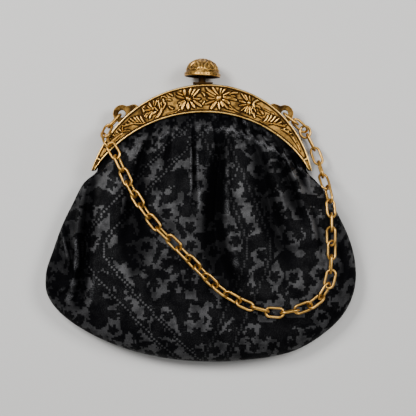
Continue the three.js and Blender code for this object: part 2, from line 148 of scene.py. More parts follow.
def value_noise(x, y, cell, seed):
    """Random heights from -1 to 1 on a square lattice of that cell size, blended by smoothstep."""
    heights = np.random.default_rng(seed).uniform(-1, 1, (LATTICE, LATTICE))
    i, j = np.floor(x / cell).astype(int), np.floor(y / cell).astype(int)
    a, b = smooth(0, 1, x / cell - i), smooth(0, 1, y / cell - j)
    left, right = i % LATTICE, (i + 1) % LATTICE
    low, high = j % LATTICE, (j + 1) % LATTICE
    near = heights[left, low] * (1 - a) + heights[right, low] * a
    far = heights[left, high] * (1 - a) + heights[right, high] * a
    return near * (1 - b) + far * b


def blur(height, reach):
    """Mean of the points within reach along both directions of the grid."""
    for axis in (0, 1):
        margins = [(reach + 1, reach) if a == axis else (0, 0) for a in (0, 1)]
        padded = np.pad(height, margins, mode="edge")
        total = np.cumsum(padded, axis=axis)
        size = height.shape[axis]
        ends = np.take(total, np.arange(size) + 2 * reach + 1, axis=axis)
        height = (ends - np.take(total, np.arange(size), axis=axis)) / (2 * reach + 1)
    return height


def table_row(along):
    """Catmull-Rom curve through the rows of the outline table, at each place along the mouth."""
    last = len(BAG_ROWS) - 1
    k = np.minimum((along * last).astype(int), last - 1)
    f = (along * last - k)[..., None]
    a, b, c, d = (BAG_ROWS[np.clip(k + step, 0, last)] for step in (-1, 0, 1, 2))
    return b + 0.5 * f * (c - a + f * (2 * a - 5 * b + 4 * c - d + f * (3 * (b - c) + d - a)))


# Folds are worked out this far up and down the bag, and eased over this many half-millimetre steps. The
# lip beside a fold is a share of its depth, at a distance and with a half width in spreads of the fold.
FOLD_SPAN, FOLD_EASE = 110, 13
FOLD_LIP, FOLD_LIP_OFF, FOLD_LIP_HALF = 0.24, 2.0, 0.75


def fold_height(x, y):
    """Sum of valleys, -depth * exp(-|d / spread|^1.5), each with a swollen lip on both sides of it."""
    height = np.zeros_like(x)
    levels = np.linspace(-FOLD_SPAN, FOLD_SPAN, 4 * FOLD_SPAN + 1)
    window = np.hanning(2 * FOLD_EASE + 1)
    window /= window.sum()
    for fold in FOLDS:
        rows = np.array(fold, dtype=float)[::-1]
        columns = [np.interp(levels, rows[:, 1], rows[:, k]) for k in (0, 2, 3, 4)]
        padded = [np.pad(column, FOLD_EASE, mode="edge") for column in columns]
        middle, depth, left, right = (
            np.interp(y, levels, np.convolve(column, window, "valid")) for column in padded
        )
        aside = np.abs(x - middle) / np.where(x < middle, left, right)
        height -= depth * np.exp(-(aside**1.5))
        height += FOLD_LIP * depth * np.exp(-(((aside - FOLD_LIP_OFF) / FOLD_LIP_HALF) ** 2))
    return height


# Gathers at the mouth: how many, their height, and the ranges that their widths, heights and lengths are
# drawn from.
PLEATS, PLEAT_HIGH, PLEAT_IN, PLEAT_SEED = 26, 1.2, 0.05, 11
PLEAT_RANGE, PLEAT_LENGTHS = (0.5, 1.5), (0.06, 0.24)


def pleat_height(along, reach):
    """Gathers at the mouth: unevenly spaced rounded ridges, each with its own height and length."""
    rng = np.random.default_rng(PLEAT_SEED)
    stops = np.cumsum(rng.uniform(*PLEAT_RANGE, PLEATS + 1))
    stops = (stops - stops[0]) / (stops[-1] - stops[0])
    phase = np.interp(along, stops, np.arange(PLEATS + 1))
    rise = np.interp(along, stops, rng.uniform(*PLEAT_RANGE, PLEATS + 1))
    length = np.interp(along, stops, rng.uniform(*PLEAT_LENGTHS, PLEATS + 1))
    wave = np.abs(np.cos(np.pi * phase)) ** 1.3 - 0.55
    return PLEAT_HIGH * rise * wave * smooth(0, PLEAT_IN, reach) * np.exp(-((reach / length) ** 2))


# Ruffle beside the frame, in mm: the mouth's length, the scallops, the roll, the sunk band above it and the
# small rucks. It is fuller past the middle of the mouth.
MOUTH_RUN = 170
SCALLOP_WIDE, SCALLOP_DEEP, SCALLOP_STRAY = 7.5, 2.6, 0.4
ROLL_OFF, ROLL_WANDER, ROLL_HIGH, ROLL_PUFF = 7.6, 1.3, 2.6, 0.6
ROLL_STEEP, ROLL_GENTLE = 1.0, 4.2
SUNK_DEEP, SUNK_OFF, SUNK_WIDE = 1.8, 4.2, 2.4
RUCK_HIGH, RUCK_FADE = 0.8, 10
RUFFLE_LEAST, RUFFLE_MORE, RUFFLE_BAND = 0.45, 0.85, (0.52, 0.66)


def ruffle_height(along, down):
    """Spare cloth beside the frame: a sunk band, then a scalloped roll, steep on the frame's side."""
    run = MOUTH_RUN * along
    fullness = RUFFLE_LEAST + RUFFLE_MORE * smooth(*RUFFLE_BAND, along)
    stray = SCALLOP_STRAY * value_noise(run, 0.3 * down, cell=9, seed=7)
    scallop = np.abs(np.sin(np.pi * (run / SCALLOP_WIDE + stray)))
    wander = ROLL_WANDER * value_noise(run, 0.2 * down, cell=13, seed=10)
    puffs = 1 + ROLL_PUFF * value_noise(run, 0.5 * down, cell=5.5, seed=8)
    off = down - (ROLL_OFF + SCALLOP_DEEP * scallop + wander)
    roll = ROLL_HIGH * puffs * np.exp(-((off / np.where(off < 0, ROLL_STEEP, ROLL_GENTLE)) ** 2))
    sunk = -SUNK_DEEP * np.exp(-(((off + SUNK_OFF) / SUNK_WIDE) ** 2))
    rucks = RUCK_HIGH * value_noise(run + 0.5 * down, down, cell=2.6, seed=9)
    return fullness * (sunk + roll) + rucks * np.exp(-((down / RUCK_FADE) ** 2))


CRUMPLE_BROAD, CRUMPLE_SLACK, CRUMPLE_FINE = 0.9, 0.5, 0.28


def crumple_height(x, y):
    """Random crumple of three sizes added up, the two finer ones slanted and drawn out down the bag."""
    broad = CRUMPLE_BROAD * value_noise(x, y, cell=17, seed=3)
    slack = CRUMPLE_SLACK * value_noise(x + 0.3 * y, 0.6 * y - 0.3 * x, cell=7, seed=4)
    fine = CRUMPLE_FINE * value_noise(x - 0.2 * y, 0.45 * y, cell=3.6, seed=6)
    return broad + slack + fine


# Where the side seams and the frame's tips let go of the cloth, as shares of the way along the mouth.
SEAM_BY, TIPS_BY = 0.02, 0.08
# Where the front has swelled, where its creases come in and go out, and where the back settles and turns
# up, as shares of the way down. The ruffle comes in over some mm.
SWELL_BY, EDGE_ROUND = 0.42, 3.2
FOLDS_IN, CRUMPLE_IN, CREASES_OUT = (0.02, 0.2), (0.1, 0.4), (0.93, 1)
BACK_SETTLES, BACK_TURNS = (0.04, 0.16), 0.88
RUFFLE_IN, BACK_GATHERS = 1.5, 0.6


def bag_surface(along, reach, front, creased=True):
    """Point of the cloth: a fan of curves hanging from the frame's inner edge to the bag's outline."""
    edge_x, edge_y, crest, floor, edge_z = np.moveaxis(table_row(along), -1, 0)
    leave_xy = edge_point(INNER_EDGE, BAG_REACH * (2 * along - 1))
    fall = 0.5 * np.hypot(leave_xy[..., 0] - edge_x, leave_xy[..., 1] - edge_y)
    first, middle, last = (1 - reach) ** 2, 2 * reach * (1 - reach), reach**2
    x = (first + middle) * leave_xy[..., 0] + last * edge_x
    y = (first + middle) * leave_xy[..., 1] - middle * fall + last * edge_y
    sewn = smooth(0, SEAM_BY, np.minimum(along, 1 - along))
    if front:
        leave = PARTING_Z + BAG_MOUTH_Z
        swell = leave + (crest - leave) * smooth(0, SWELL_BY, reach)
        z = edge_z + (swell - edge_z) * np.sqrt(np.clip(1 - reach**EDGE_ROUND, 0, 1))
        if creased:
            from_tips = smooth(0, TIPS_BY, along * (1 - along))
            edge_fade = 1 - smooth(*CREASES_OUT, reach)
            down = np.hypot(x - leave_xy[..., 0], y - leave_xy[..., 1])
            ruffle = smooth(0, RUFFLE_IN, down) * ruffle_height(along, down)
            z += from_tips * smooth(*FOLDS_IN, reach) * edge_fade * fold_height(x, y)
            z += from_tips * (pleat_height(along, reach) + ruffle)
            z += from_tips * smooth(*CRUMPLE_IN, reach) * edge_fade * crumple_height(x, y)
    else:
        leave = PARTING_Z - BAG_MOUTH_Z
        turn = np.clip((reach - BACK_TURNS) / (1 - BACK_TURNS), 0, 1)
        settle = (leave - floor) * (1 - smooth(*BACK_SETTLES, reach))
        z = np.maximum(0, floor) + settle + (edge_z - floor) * (1 - np.sqrt(1 - turn**2))
        if creased:
            z += BACK_GATHERS * smooth(0, PLEAT_IN, reach) * (0.5 + pleat_height(along, reach) / 3)
    return np.stack([x, y, edge_z + (z - edge_z) * sewn], axis=-1)


# The most that a step of the cloth grows by when it is laid flat.
MOST_STRETCH = 6


def cloth_coordinates(points):
    """Each fan line laid flat: steps keep their length in space and their direction in plan."""
    step = np.diff(points, axis=1)
    plan = np.linalg.norm(step[..., :2], axis=-1, keepdims=True)
    stretch = np.linalg.norm(step, axis=-1, keepdims=True) / np.maximum(plan, 1e-6)
    flat = points[..., :2].copy()
    flat[:, 1:] = flat[:, :1] + np.cumsum(step[..., :2] * np.minimum(stretch, MOST_STRETCH), axis=1)
    return flat


# How much each panel is lit, as painted shade on the panels turned from the light, across the bag: x and
# share. Down the bag it goes over to an even share between these two values of y.
PANEL_SHADE = np.array((
    (-80, 0.35), (-70, 1), (-42, 1), (-33, 0.58), (4, 0.52), (14, 0.66), (60, 0.7), (95, 0.75),
))
PANEL_LOW, PANEL_HIGH = -46, -28
# Fold heights from full painted shade in the valleys to fully lit and rubbed, the painted shade towards the
# outline and the share left in the painted shadow of the frame at the mouth.
FOLD_SHADE_RUB = (-3.8, 0.6)
OUTLINE_SHADE, OUTLINE_SHADE_BAND = 0.55, (0.8, 1.0)
MOUTH_SHADOW_SHARE, MOUTH_SHADOW_BAND = 0.15, (2.0, 9.0)
BACK_WORN = 0.75


def front_rub_and_shade(points, reach, mouth):
    """Share lit and rubbed grey: by fold height with painted shade in the valleys, less as painted shade at
    the outline and on the darker panels, and less in the frame's painted shadow at the mouth.
    """
    lit_rub_share = smooth(*FOLD_SHADE_RUB, fold_height(points[..., 0], points[..., 1]))
    lit_rub_share *= 1 - OUTLINE_SHADE * smooth(*OUTLINE_SHADE_BAND, reach)
    below = np.linalg.norm(points[..., :2] - mouth, axis=-1)
    lit_rub_share *= MOUTH_SHADOW_SHARE + (1 - MOUTH_SHADOW_SHARE) * smooth(*MOUTH_SHADOW_BAND, below)
    panel = np.interp(points[..., 0], *PANEL_SHADE.T)
    return lit_rub_share * (1 - (1 - panel) * smooth(PANEL_LOW, PANEL_HIGH, points[..., 1]))


# The mouth's edge is tucked into the frame by a share of the frame's width past its wall, within limits.
TUCK_SHARE, TUCK_WALL, TUCK_LIMITS = 0.45, 1.2, (0.3, 5)
# The back shows another stretch of the figure. A ridge is where the front stands above what is round it,
# and it gets a painted sheen highlight.
BACK_CLOTH_SHIFT = (300, 0)
RIDGE_REACH, RIDGE_RISE = 3, (0.3, 0.9)
bag_along = np.linspace(0, 1, BAG_ACROSS)[:, None]
front_reach = 1 - (1 - np.linspace(0, 1, BAG_FRONT)[None, :]) ** STEP_CLOSING
back_reach = 1 - np.linspace(0, 1, BAG_BACK)[None, :] ** STEP_CLOSING
front_at = np.broadcast_arrays(bag_along, front_reach)
back_at = np.broadcast_arrays(bag_along, back_reach[:, 1:])
bag_front, bag_back = bag_surface(*front_at, True), bag_surface(*back_at, False)
plain_front, plain_back = bag_surface(*front_at, True, False), bag_surface(*back_at, False, False)
mouth_t = BAG_REACH * (2 * bag_along - 1)
mouth_inner, mouth_outer = edge_point(INNER_EDGE, mouth_t), edge_point(OUTER_EDGE, mouth_t)
mouth_width = np.linalg.norm(mouth_outer - mouth_inner, axis=-1, keepdims=True)
tuck = np.clip(TUCK_SHARE * (mouth_width - TUCK_WALL), *TUCK_LIMITS) / mouth_width
seam_xy = mouth_inner + (mouth_outer - mouth_inner) * tuck
seam_front = np.concatenate([seam_xy, np.full_like(tuck, PARTING_Z + BAG_MOUTH_Z)], axis=-1)
seam_back = np.concatenate([seam_xy, np.full_like(tuck, PARTING_Z - BAG_MOUTH_Z)], axis=-1)
bag_grid = np.concatenate([seam_front, bag_front, bag_back, seam_back], axis=1)
bag_flat = np.concatenate([
    cloth_coordinates(np.concatenate([seam_front, plain_front], axis=1)),
    cloth_coordinates(np.concatenate([plain_back, seam_back], axis=1)) + BACK_CLOTH_SHIFT,
], axis=1)
bag_flat = np.concatenate([bag_flat, np.zeros_like(bag_flat[..., :1])], axis=-1)
# The worn value is real rubbing together with painted shade in the fold valleys, towards the outline and on
# darker panels, and the frame's painted shadow at the mouth.
bag_rub_and_shade = np.full(bag_grid.shape[:2], BACK_WORN)
bag_rub_and_shade[:, 1:BAG_FRONT + 1] = front_rub_and_shade(bag_front, front_reach, mouth_inner)
bag_ridge = np.zeros_like(bag_rub_and_shade)
proud = bag_front[..., 2] - blur(bag_front[..., 2], RIDGE_REACH)
bag_ridge[:, 1:BAG_FRONT + 1] = smooth(*RIDGE_RISE, proud)
bag = add_mesh(
    "bag_cloth", bag_grid.reshape(-1, 3), grid_quads(*bag_grid.shape[:2]).tolist(),
    cloth=bag_flat.reshape(-1, 3), worn=bag_rub_and_shade.ravel(), ridge=bag_ridge.ravel(),
)


class Nodes:
    """Adds shader nodes to a new material by name, and links or sets their inputs."""

    def __init__(self, name):
        self.material = bpy.data.materials.new(name)
        self.material.use_nodes = True
        self.tree = self.material.node_tree
        self.shader = self.tree.nodes["Principled BSDF"]

    def put(self, socket, value):
        """Links an output to the socket, or sets the socket to a plain value."""
        if isinstance(value, bpy.types.NodeSocket):
            self.tree.links.new(value, socket)
        else:
            socket.default_value = value

    def add(self, kind, *inputs, output=0, **settings):
        """New node with its settings and its first inputs, in order, and one of its outputs."""
        node = self.tree.nodes.new(kind)
        for key, value in settings.items():
            setattr(node, key, value)
        for socket, value in zip(node.inputs, inputs):
            if value is not None:
                self.put(socket, value)
        return node.outputs[output]

    def attribute(self, name, output="Fac"):
        return self.add("ShaderNodeAttribute", attribute_name=name, output=output)

    def noise(self, place, scale, detail, roughness, **settings):
        return self.add("ShaderNodeTexNoise", place, None, scale, detail, roughness, **settings)

    def math(self, operation, *inputs):
        return self.add("ShaderNodeMath", *inputs, operation=operation)

    def vector(self, operation, *inputs, output=0):
        return self.add("ShaderNodeVectorMath", *inputs, operation=operation, output=output)

    def ramp(self, value, start, end, low=0.0, high=1.0):
        return self.add("ShaderNodeMapRange", value, start, end, low, high, interpolation_type="SMOOTHSTEP")

    def blend(self, share, first, second):
        node = self.tree.nodes.new("ShaderNodeMix")
        node.data_type = "RGBA"
        self.put(node.inputs[0], share)
        self.put(node.inputs[6], first)
        self.put(node.inputs[7], second)
        return node.outputs[2]

    def plan(self, vector):
        """The x and y of a vector."""
        node = self.tree.nodes.new("ShaderNodeSeparateXYZ")
        self.put(node.inputs[0], vector)
        return node.outputs[0], node.outputs[1]

    def bump(self, height, strength, distance):
        node = self.tree.nodes.new("ShaderNodeBump")
        self.put(node.inputs["Height"], height)
        self.put(node.inputs["Strength"], strength)
        self.put(node.inputs["Distance"], distance)
        return node.outputs[0]

    def finish(self, **inputs):
        """The material, with the shader's inputs named in lower case."""
        for key, value in inputs.items():
            self.put(self.shader.inputs[key.replace("_", " ").title().replace("Ior", "IOR")], value)
        return self.material


# The figure is woven in squares of WEAVE mm: blooms scattered over the cloth, and sprays of satin that
# are thicker near a bloom than far from it.
WEAVE = 0.95
BLOOM_SCALE, BLOOM_STRAY, BLOOM_HEART = 0.077, 0.75, 1.7
PETALS, PETAL_LONG, PETAL_ROUND, PETAL_TURN = 5, 2.2, 0.6, 0.6
SPRAY_SCALE, SPRAY_LEVEL = 0.075, 0.54
SPRAY_BAND, SPRAY_GAIN = (3.0, 9.5), (0.12, -0.09)


def woven_figure(silk, cloth):
    """Satin where noise passes a level, less a flower at each bloom: heart + long * |cos(5/2 turn)|^0.6."""
    woven = silk.vector("SNAP", cloth, (WEAVE, WEAVE, 1.0))
    bloom = silk.tree.nodes.new("ShaderNodeTexVoronoi")
    bloom.voronoi_dimensions = "2D"
    silk.put(bloom.inputs["Vector"], woven)
    silk.put(bloom.inputs["Scale"], BLOOM_SCALE)
    silk.put(bloom.inputs["Randomness"], BLOOM_STRAY)
    from_bloom = silk.vector("SUBTRACT", woven, bloom.outputs["Position"])
    far = silk.vector("LENGTH", from_bloom, output="Value")
    x, y = silk.plan(from_bloom)
    turn = silk.math("MULTIPLY_ADD", silk.math("ARCTAN2", y, x), PETALS / 2, PETAL_TURN)
    wave = silk.math("POWER", silk.math("ABSOLUTE", silk.math("COSINE", turn)), PETAL_ROUND)
    flower = silk.math("LESS_THAN", far, silk.math("MULTIPLY_ADD", wave, PETAL_LONG, BLOOM_HEART))
    sprays = silk.noise(woven, scale=SPRAY_SCALE, detail=4.0, roughness=0.58, noise_dimensions="2D")
    sprays = silk.math("ADD", sprays, silk.ramp(far, *SPRAY_BAND, *SPRAY_GAIN))
    satin = silk.math("SUBTRACT", silk.math("GREATER_THAN", sprays, SPRAY_LEVEL), flower)
    return silk.math("MAXIMUM", satin, 0.0)


# Plain bands run down the cloth on both sides of two bent lines, each with a row of dots along its middle.
# The lines are given by their shift and lean, and the dots of the right one are fainter.
STITCH = 1.6
BAND_KNEE, BAND_ROUND = -8.5, 40.0
BAND_LINES = ((76.0, -0.9), (-36.0, 0.42))
BAND_OFF, BAND_HALF = 7.2, 2.7
DOT_RADIUS, FAINT_DOTS = 0.42 * STITCH, 0.5


def dotted_bands(silk, cloth):
    """Bands at a set distance from the lines x = -shift - lean * sqrt((y - knee)^2 + round), and dots."""
    stitched = silk.vector("SNAP", cloth, (STITCH, STITCH, 1.0))
    x, y = silk.plan(stitched)
    from_knee = silk.math("SUBTRACT", y, BAND_KNEE)
    bend = silk.math("SQRT", silk.math("MULTIPLY_ADD", from_knee, from_knee, BAND_ROUND))
    left, right = (
        silk.math("ABSOLUTE", silk.math("MULTIPLY_ADD", bend, lean, silk.math("ADD", x, shift)))
        for shift, lean in BAND_LINES
    )
    plain = silk.math("COMPARE", silk.math("MINIMUM", left, right), BAND_OFF, BAND_HALF)
    left_row = silk.math("COMPARE", left, BAND_OFF, STITCH / 2)
    right_row = silk.math("COMPARE", right, BAND_OFF, STITCH / 2)
    row = silk.math("MAXIMUM", left_row, silk.math("MULTIPLY", right_row, FAINT_DOTS))
    middle = silk.vector("ADD", stitched, (STITCH / 2, STITCH / 2, 0))
    from_middle = silk.vector("LENGTH", silk.vector("SUBTRACT", cloth, middle), output="Value")
    dot = silk.math("LESS_THAN", from_middle, DOT_RADIUS)
    return plain, silk.math("MULTIPLY", dot, row)


# Ground and satin, each as woven, which is also their colour in painted shade, and as rubbed and lit, and
# the crests in a painted sheen highlight that also stands for threadbare wear. A ramp says where it starts
# and ends, then the shares at both ends where these aren't 0 and 1.
GROUND, GROUND_RUBBED_LIT = (0.002, 0.002, 0.0025, 1), (0.022, 0.022, 0.023, 1)
SATIN, SATIN_RUBBED_LIT = (0.004, 0.004, 0.0045, 1), (0.084, 0.083, 0.086, 1)
THREADBARE_SHEEN = (0.12, 0.12, 0.126, 1)
RUB_SHADE_RAMP, CLOUD_RAMP, SLUB_RAMP = (0.0, 1.0, 0.08, 1.0), (0.32, 0.66, 0.35, 1.0), (0.3, 0.7, 0.6, 1.0)
GROUND_RAMP, CREST_CLOUD, CREST_SLUB = (0.45, 0.72), (0.36, 0.62), (0.38, 0.66)
TWILL_SCALE, TWILL_WAVER, TWILL_DETAIL, TWILL_RISE, SLUB_RISE = 1.1, 0.6, 1.0, 0.25, 0.5
GROUND_ROUGH, SATIN_SMOOTHER = 0.5, -0.08
GROUND_SHINE, SATIN_SHINE = 0.1, 0.34
WEAVE_BUMP, WEAVE_DEPTH = 0.4, 0.0003
silk = Nodes("figured_silk")
cloth = silk.attribute("cloth", output="Vector")
plain, dots = dotted_bands(silk, cloth)
figure = silk.math("MULTIPLY", woven_figure(silk, cloth), silk.math("SUBTRACT", 1.0, plain))
satin = silk.math("MAXIMUM", figure, dots)
slub = silk.noise(cloth, scale=1.5, detail=3.0, roughness=0.65, noise_dimensions="2D")
cloud = silk.noise(cloth, scale=0.11, detail=3.0, roughness=0.6, noise_dimensions="2D")
twill = silk.add(
    "ShaderNodeTexWave", cloth, TWILL_SCALE, TWILL_WAVER, TWILL_DETAIL, bands_direction="DIAGONAL",
)
# Where the worn value is low, the ground and satin keep their dark woven colour as painted shade. Where it
# is high, they are rubbed grey and lit.
worn = silk.ramp(silk.attribute("worn"), *RUB_SHADE_RAMP)
rubbed_and_shaded = silk.math("MULTIPLY", worn, silk.ramp(cloud, *CLOUD_RAMP))
lit = silk.math("MULTIPLY", rubbed_and_shaded, silk.ramp(slub, *SLUB_RAMP))
bright = silk.blend(lit, SATIN, SATIN_RUBBED_LIT)
dark = silk.blend(silk.math("MULTIPLY", rubbed_and_shaded, silk.ramp(slub, *GROUND_RAMP)), GROUND, GROUND_RUBBED_LIT)
# Painted sheen highlight along the crests of the folds and the ruffle, which also reads as threadbare wear.
crest = silk.math("MULTIPLY", silk.attribute("ridge"), silk.ramp(cloud, *CREST_CLOUD))
crest = silk.math("MULTIPLY", crest, silk.ramp(slub, *CREST_SLUB))
shine = silk.math("MULTIPLY", lit, silk.math("MULTIPLY_ADD", satin, SATIN_SHINE, GROUND_SHINE))
rise = silk.math("MULTIPLY_ADD", twill, TWILL_RISE, silk.math("MULTIPLY_ADD", slub, SLUB_RISE, satin))
bag.data.materials.append(silk.finish(
    base_color=silk.blend(crest, silk.blend(satin, dark, bright), THREADBARE_SHEEN),
    roughness=silk.math("MULTIPLY_ADD", satin, SATIN_SMOOTHER, GROUND_ROUGH),
    specular_ior_level=shine,
    normal=silk.bump(rise, WEAVE_BUMP, WEAVE_DEPTH),
))
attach(bag, "purse")
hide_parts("bag")

# The frame's front half is cast brass, gilt, and worn bright on what stands proud. Two bead rims hold
# a matt sunk field of daisies, stems and lobed leaves; a bar closes the field before each plain tip.
FRONT_STATIONS, FRONT_FIELD = 700, 92
# Heights off the parting plane: top of the beads, sunk field, underside of the field and foot of the walls.
RIM_Z, FLOOR_Z, UNDER_Z, LIP_Z = 5.55, 4.55, 3.75, 0.15
# Beads and walls, no wider than a share of the bar, how far the beads rise, and the gutters along them,
# where the relief comes in.
BEAD_WIDE, BEAD_SHARE, BEAD_RISE, BEAD_ROOT = 1.3, 0.28, 0.6, 0.2
WALL_THICK, WALL_SHARE = 1.2, 0.25
GUTTER_DEEP, GUTTER_WIDE, RELIEF_INSET = 0.5, (0.25, 0.8), 0.5
BEAD_STEPS, WALL_STEPS, EDGE_STEPS = 13, 6, 4
# Along each arm, as shares of its length: where the relief ends, the bar, and the plain tongue beyond it,
# which rises by a share of the field's depth.
RELIEF_ENDS = (0.885, 0.895)
CROSSBAR_T, CROSSBAR_HALF = 0.91, (0.005, 0.012)
TONGUE_EASE, TONGUE_RISE = 0.01, 0.7
# Details of the relief: bosses and their pricks, bowed petals, veins of broad leaves, cut lines and dots.
BOSS_RISE, BOSS_PRICK, PRICK_TURNS = 1.75, 0.12, 9.5
PETAL_BOW, PETAL_SEED = 0.35, 5
VEINED_WIDTH, VEIN_DEEP, VEIN_HALF = 1.95, 0.25, 0.09
CUT_DEEP, CUT_HALF = 0.55, 0.32
DOT_DEEP, DOT_HALF = 0.6, 0.5
# Flowers: the middle of the boss, its half width, half height and tilt, then the root, tip, width and
# height above the field of each petal.
FLOWERS = (
    ((-9.8, 87.3), (2.3, 1.7), -0.7, (
        ((-11.6, 88.6), (-12.1, 93.5), 2.1, 1.5), ((-9.2, 89.2), (-7.8, 94.6), 1.8, 1.4),
        ((-8.0, 89.0), (-5.3, 93.6), 1.6, 1.0), ((-7.2, 88.4), (-2.6, 93.6), 1.7, 1.3),
        ((-7.2, 87.9), (-2.0, 87.4), 1.6, 1.4), ((-7.0, 86.8), (-1.4, 82.6), 2.0, 1.5),
        ((-8.4, 85.9), (-5.4, 81.6), 2.0, 1.5), ((-9.8, 85.8), (-9.6, 80.6), 2.5, 1.6),
        ((-11.2, 86.1), (-13.8, 80.3), 2.3, 1.5), ((-11.6, 86.6), (-16.0, 84.9), 1.9, 1.3),
        ((-12.0, 87.8), (-17.2, 89.2), 1.8, 1.4), ((-13.0, 89.2), (-17.0, 91.2), 1.3, 1.0),
        ((-11.4, 86.3), (-15.4, 82.6), 1.4, 1.0),
    )),
    ((9.0, 87.9), (2.5, 1.8), 0.7, (
        ((7.9, 89.4), (1.2, 94.3), 2.0, 1.5), ((8.8, 89.8), (4.8, 95.0), 1.8, 1.3),
        ((7.0, 88.5), (1.6, 91.4), 1.8, 1.5), ((6.8, 87.3), (2.0, 87.9), 1.3, 1.2),
        ((7.0, 86.5), (0.5, 83.9), 1.7, 1.4), ((7.9, 86.1), (4.0, 80.9), 2.4, 1.5),
        ((9.2, 86.0), (9.7, 80.6), 1.5, 1.1), ((10.2, 86.4), (11.9, 82.3), 2.2, 1.6),
        ((11.0, 86.2), (15.0, 81.0), 1.8, 1.4), ((11.1, 87.0), (15.8, 84.3), 2.1, 1.6),
        ((11.3, 88.8), (16.6, 88.1), 2.1, 1.6), ((10.0, 89.8), (10.8, 94.4), 1.5, 1.3),
        ((10.9, 89.9), (13.6, 93.9), 1.5, 1.1), ((11.4, 89.5), (16.4, 91.9), 1.5, 1.1),
    )),
    ((-31.6, 81.2), (1.0, 0.9), 0.0, (
        ((-31.8, 81.6), (-34.2, 85.3), 1.3, 1.5), ((-32.2, 81.0), (-35.4, 83.1), 1.1, 1.2),
        ((-32.2, 80.5), (-37.0, 79.9), 1.3, 1.3), ((-31.8, 80.0), (-35.0, 77.8), 1.4, 1.4),
        ((-31.4, 79.6), (-33.7, 74.7), 1.5, 1.3), ((-32.2, 77.6), (-29.4, 79.6), 1.7, 1.4),
        ((-31.0, 82.6), (-28.3, 79.8), 1.2, 1.4), ((-30.8, 82.4), (-29.1, 86.6), 1.4, 1.3),
        ((-31.4, 82.6), (-31.3, 87.5), 1.0, 1.2), ((-35.0, 79.2), (-37.0, 76.2), 1.1, 0.8),
        ((-34.0, 79.0), (-35.8, 75.4), 1.1, 0.8), ((-35.8, 83.6), (-37.8, 81.6), 1.0, 0.8),
    )),
    ((27.7, 84.8), (1.5, 1.2), 0.9, (
        ((26.8, 85.8), (23.2, 90.6), 1.2, 1.4), ((27.3, 86.1), (25.0, 90.0), 1.6, 1.5),
        ((28.6, 85.8), (28.2, 89.8), 1.4, 1.5), ((26.2, 84.7), (21.4, 86.2), 1.5, 1.4),
        ((26.6, 83.9), (21.6, 83.0), 1.4, 1.3), ((25.8, 82.8), (22.6, 79.7), 1.1, 1.1),
        ((26.8, 83.2), (25.0, 78.8), 1.2, 1.2), ((27.3, 83.4), (26.4, 78.0), 1.1, 1.0),
        ((28.0, 83.4), (28.4, 77.2), 1.3, 1.5), ((28.7, 83.2), (30.2, 77.6), 1.2, 1.2),
        ((29.2, 82.9), (32.2, 79.4), 1.2, 1.0),
    )),
)
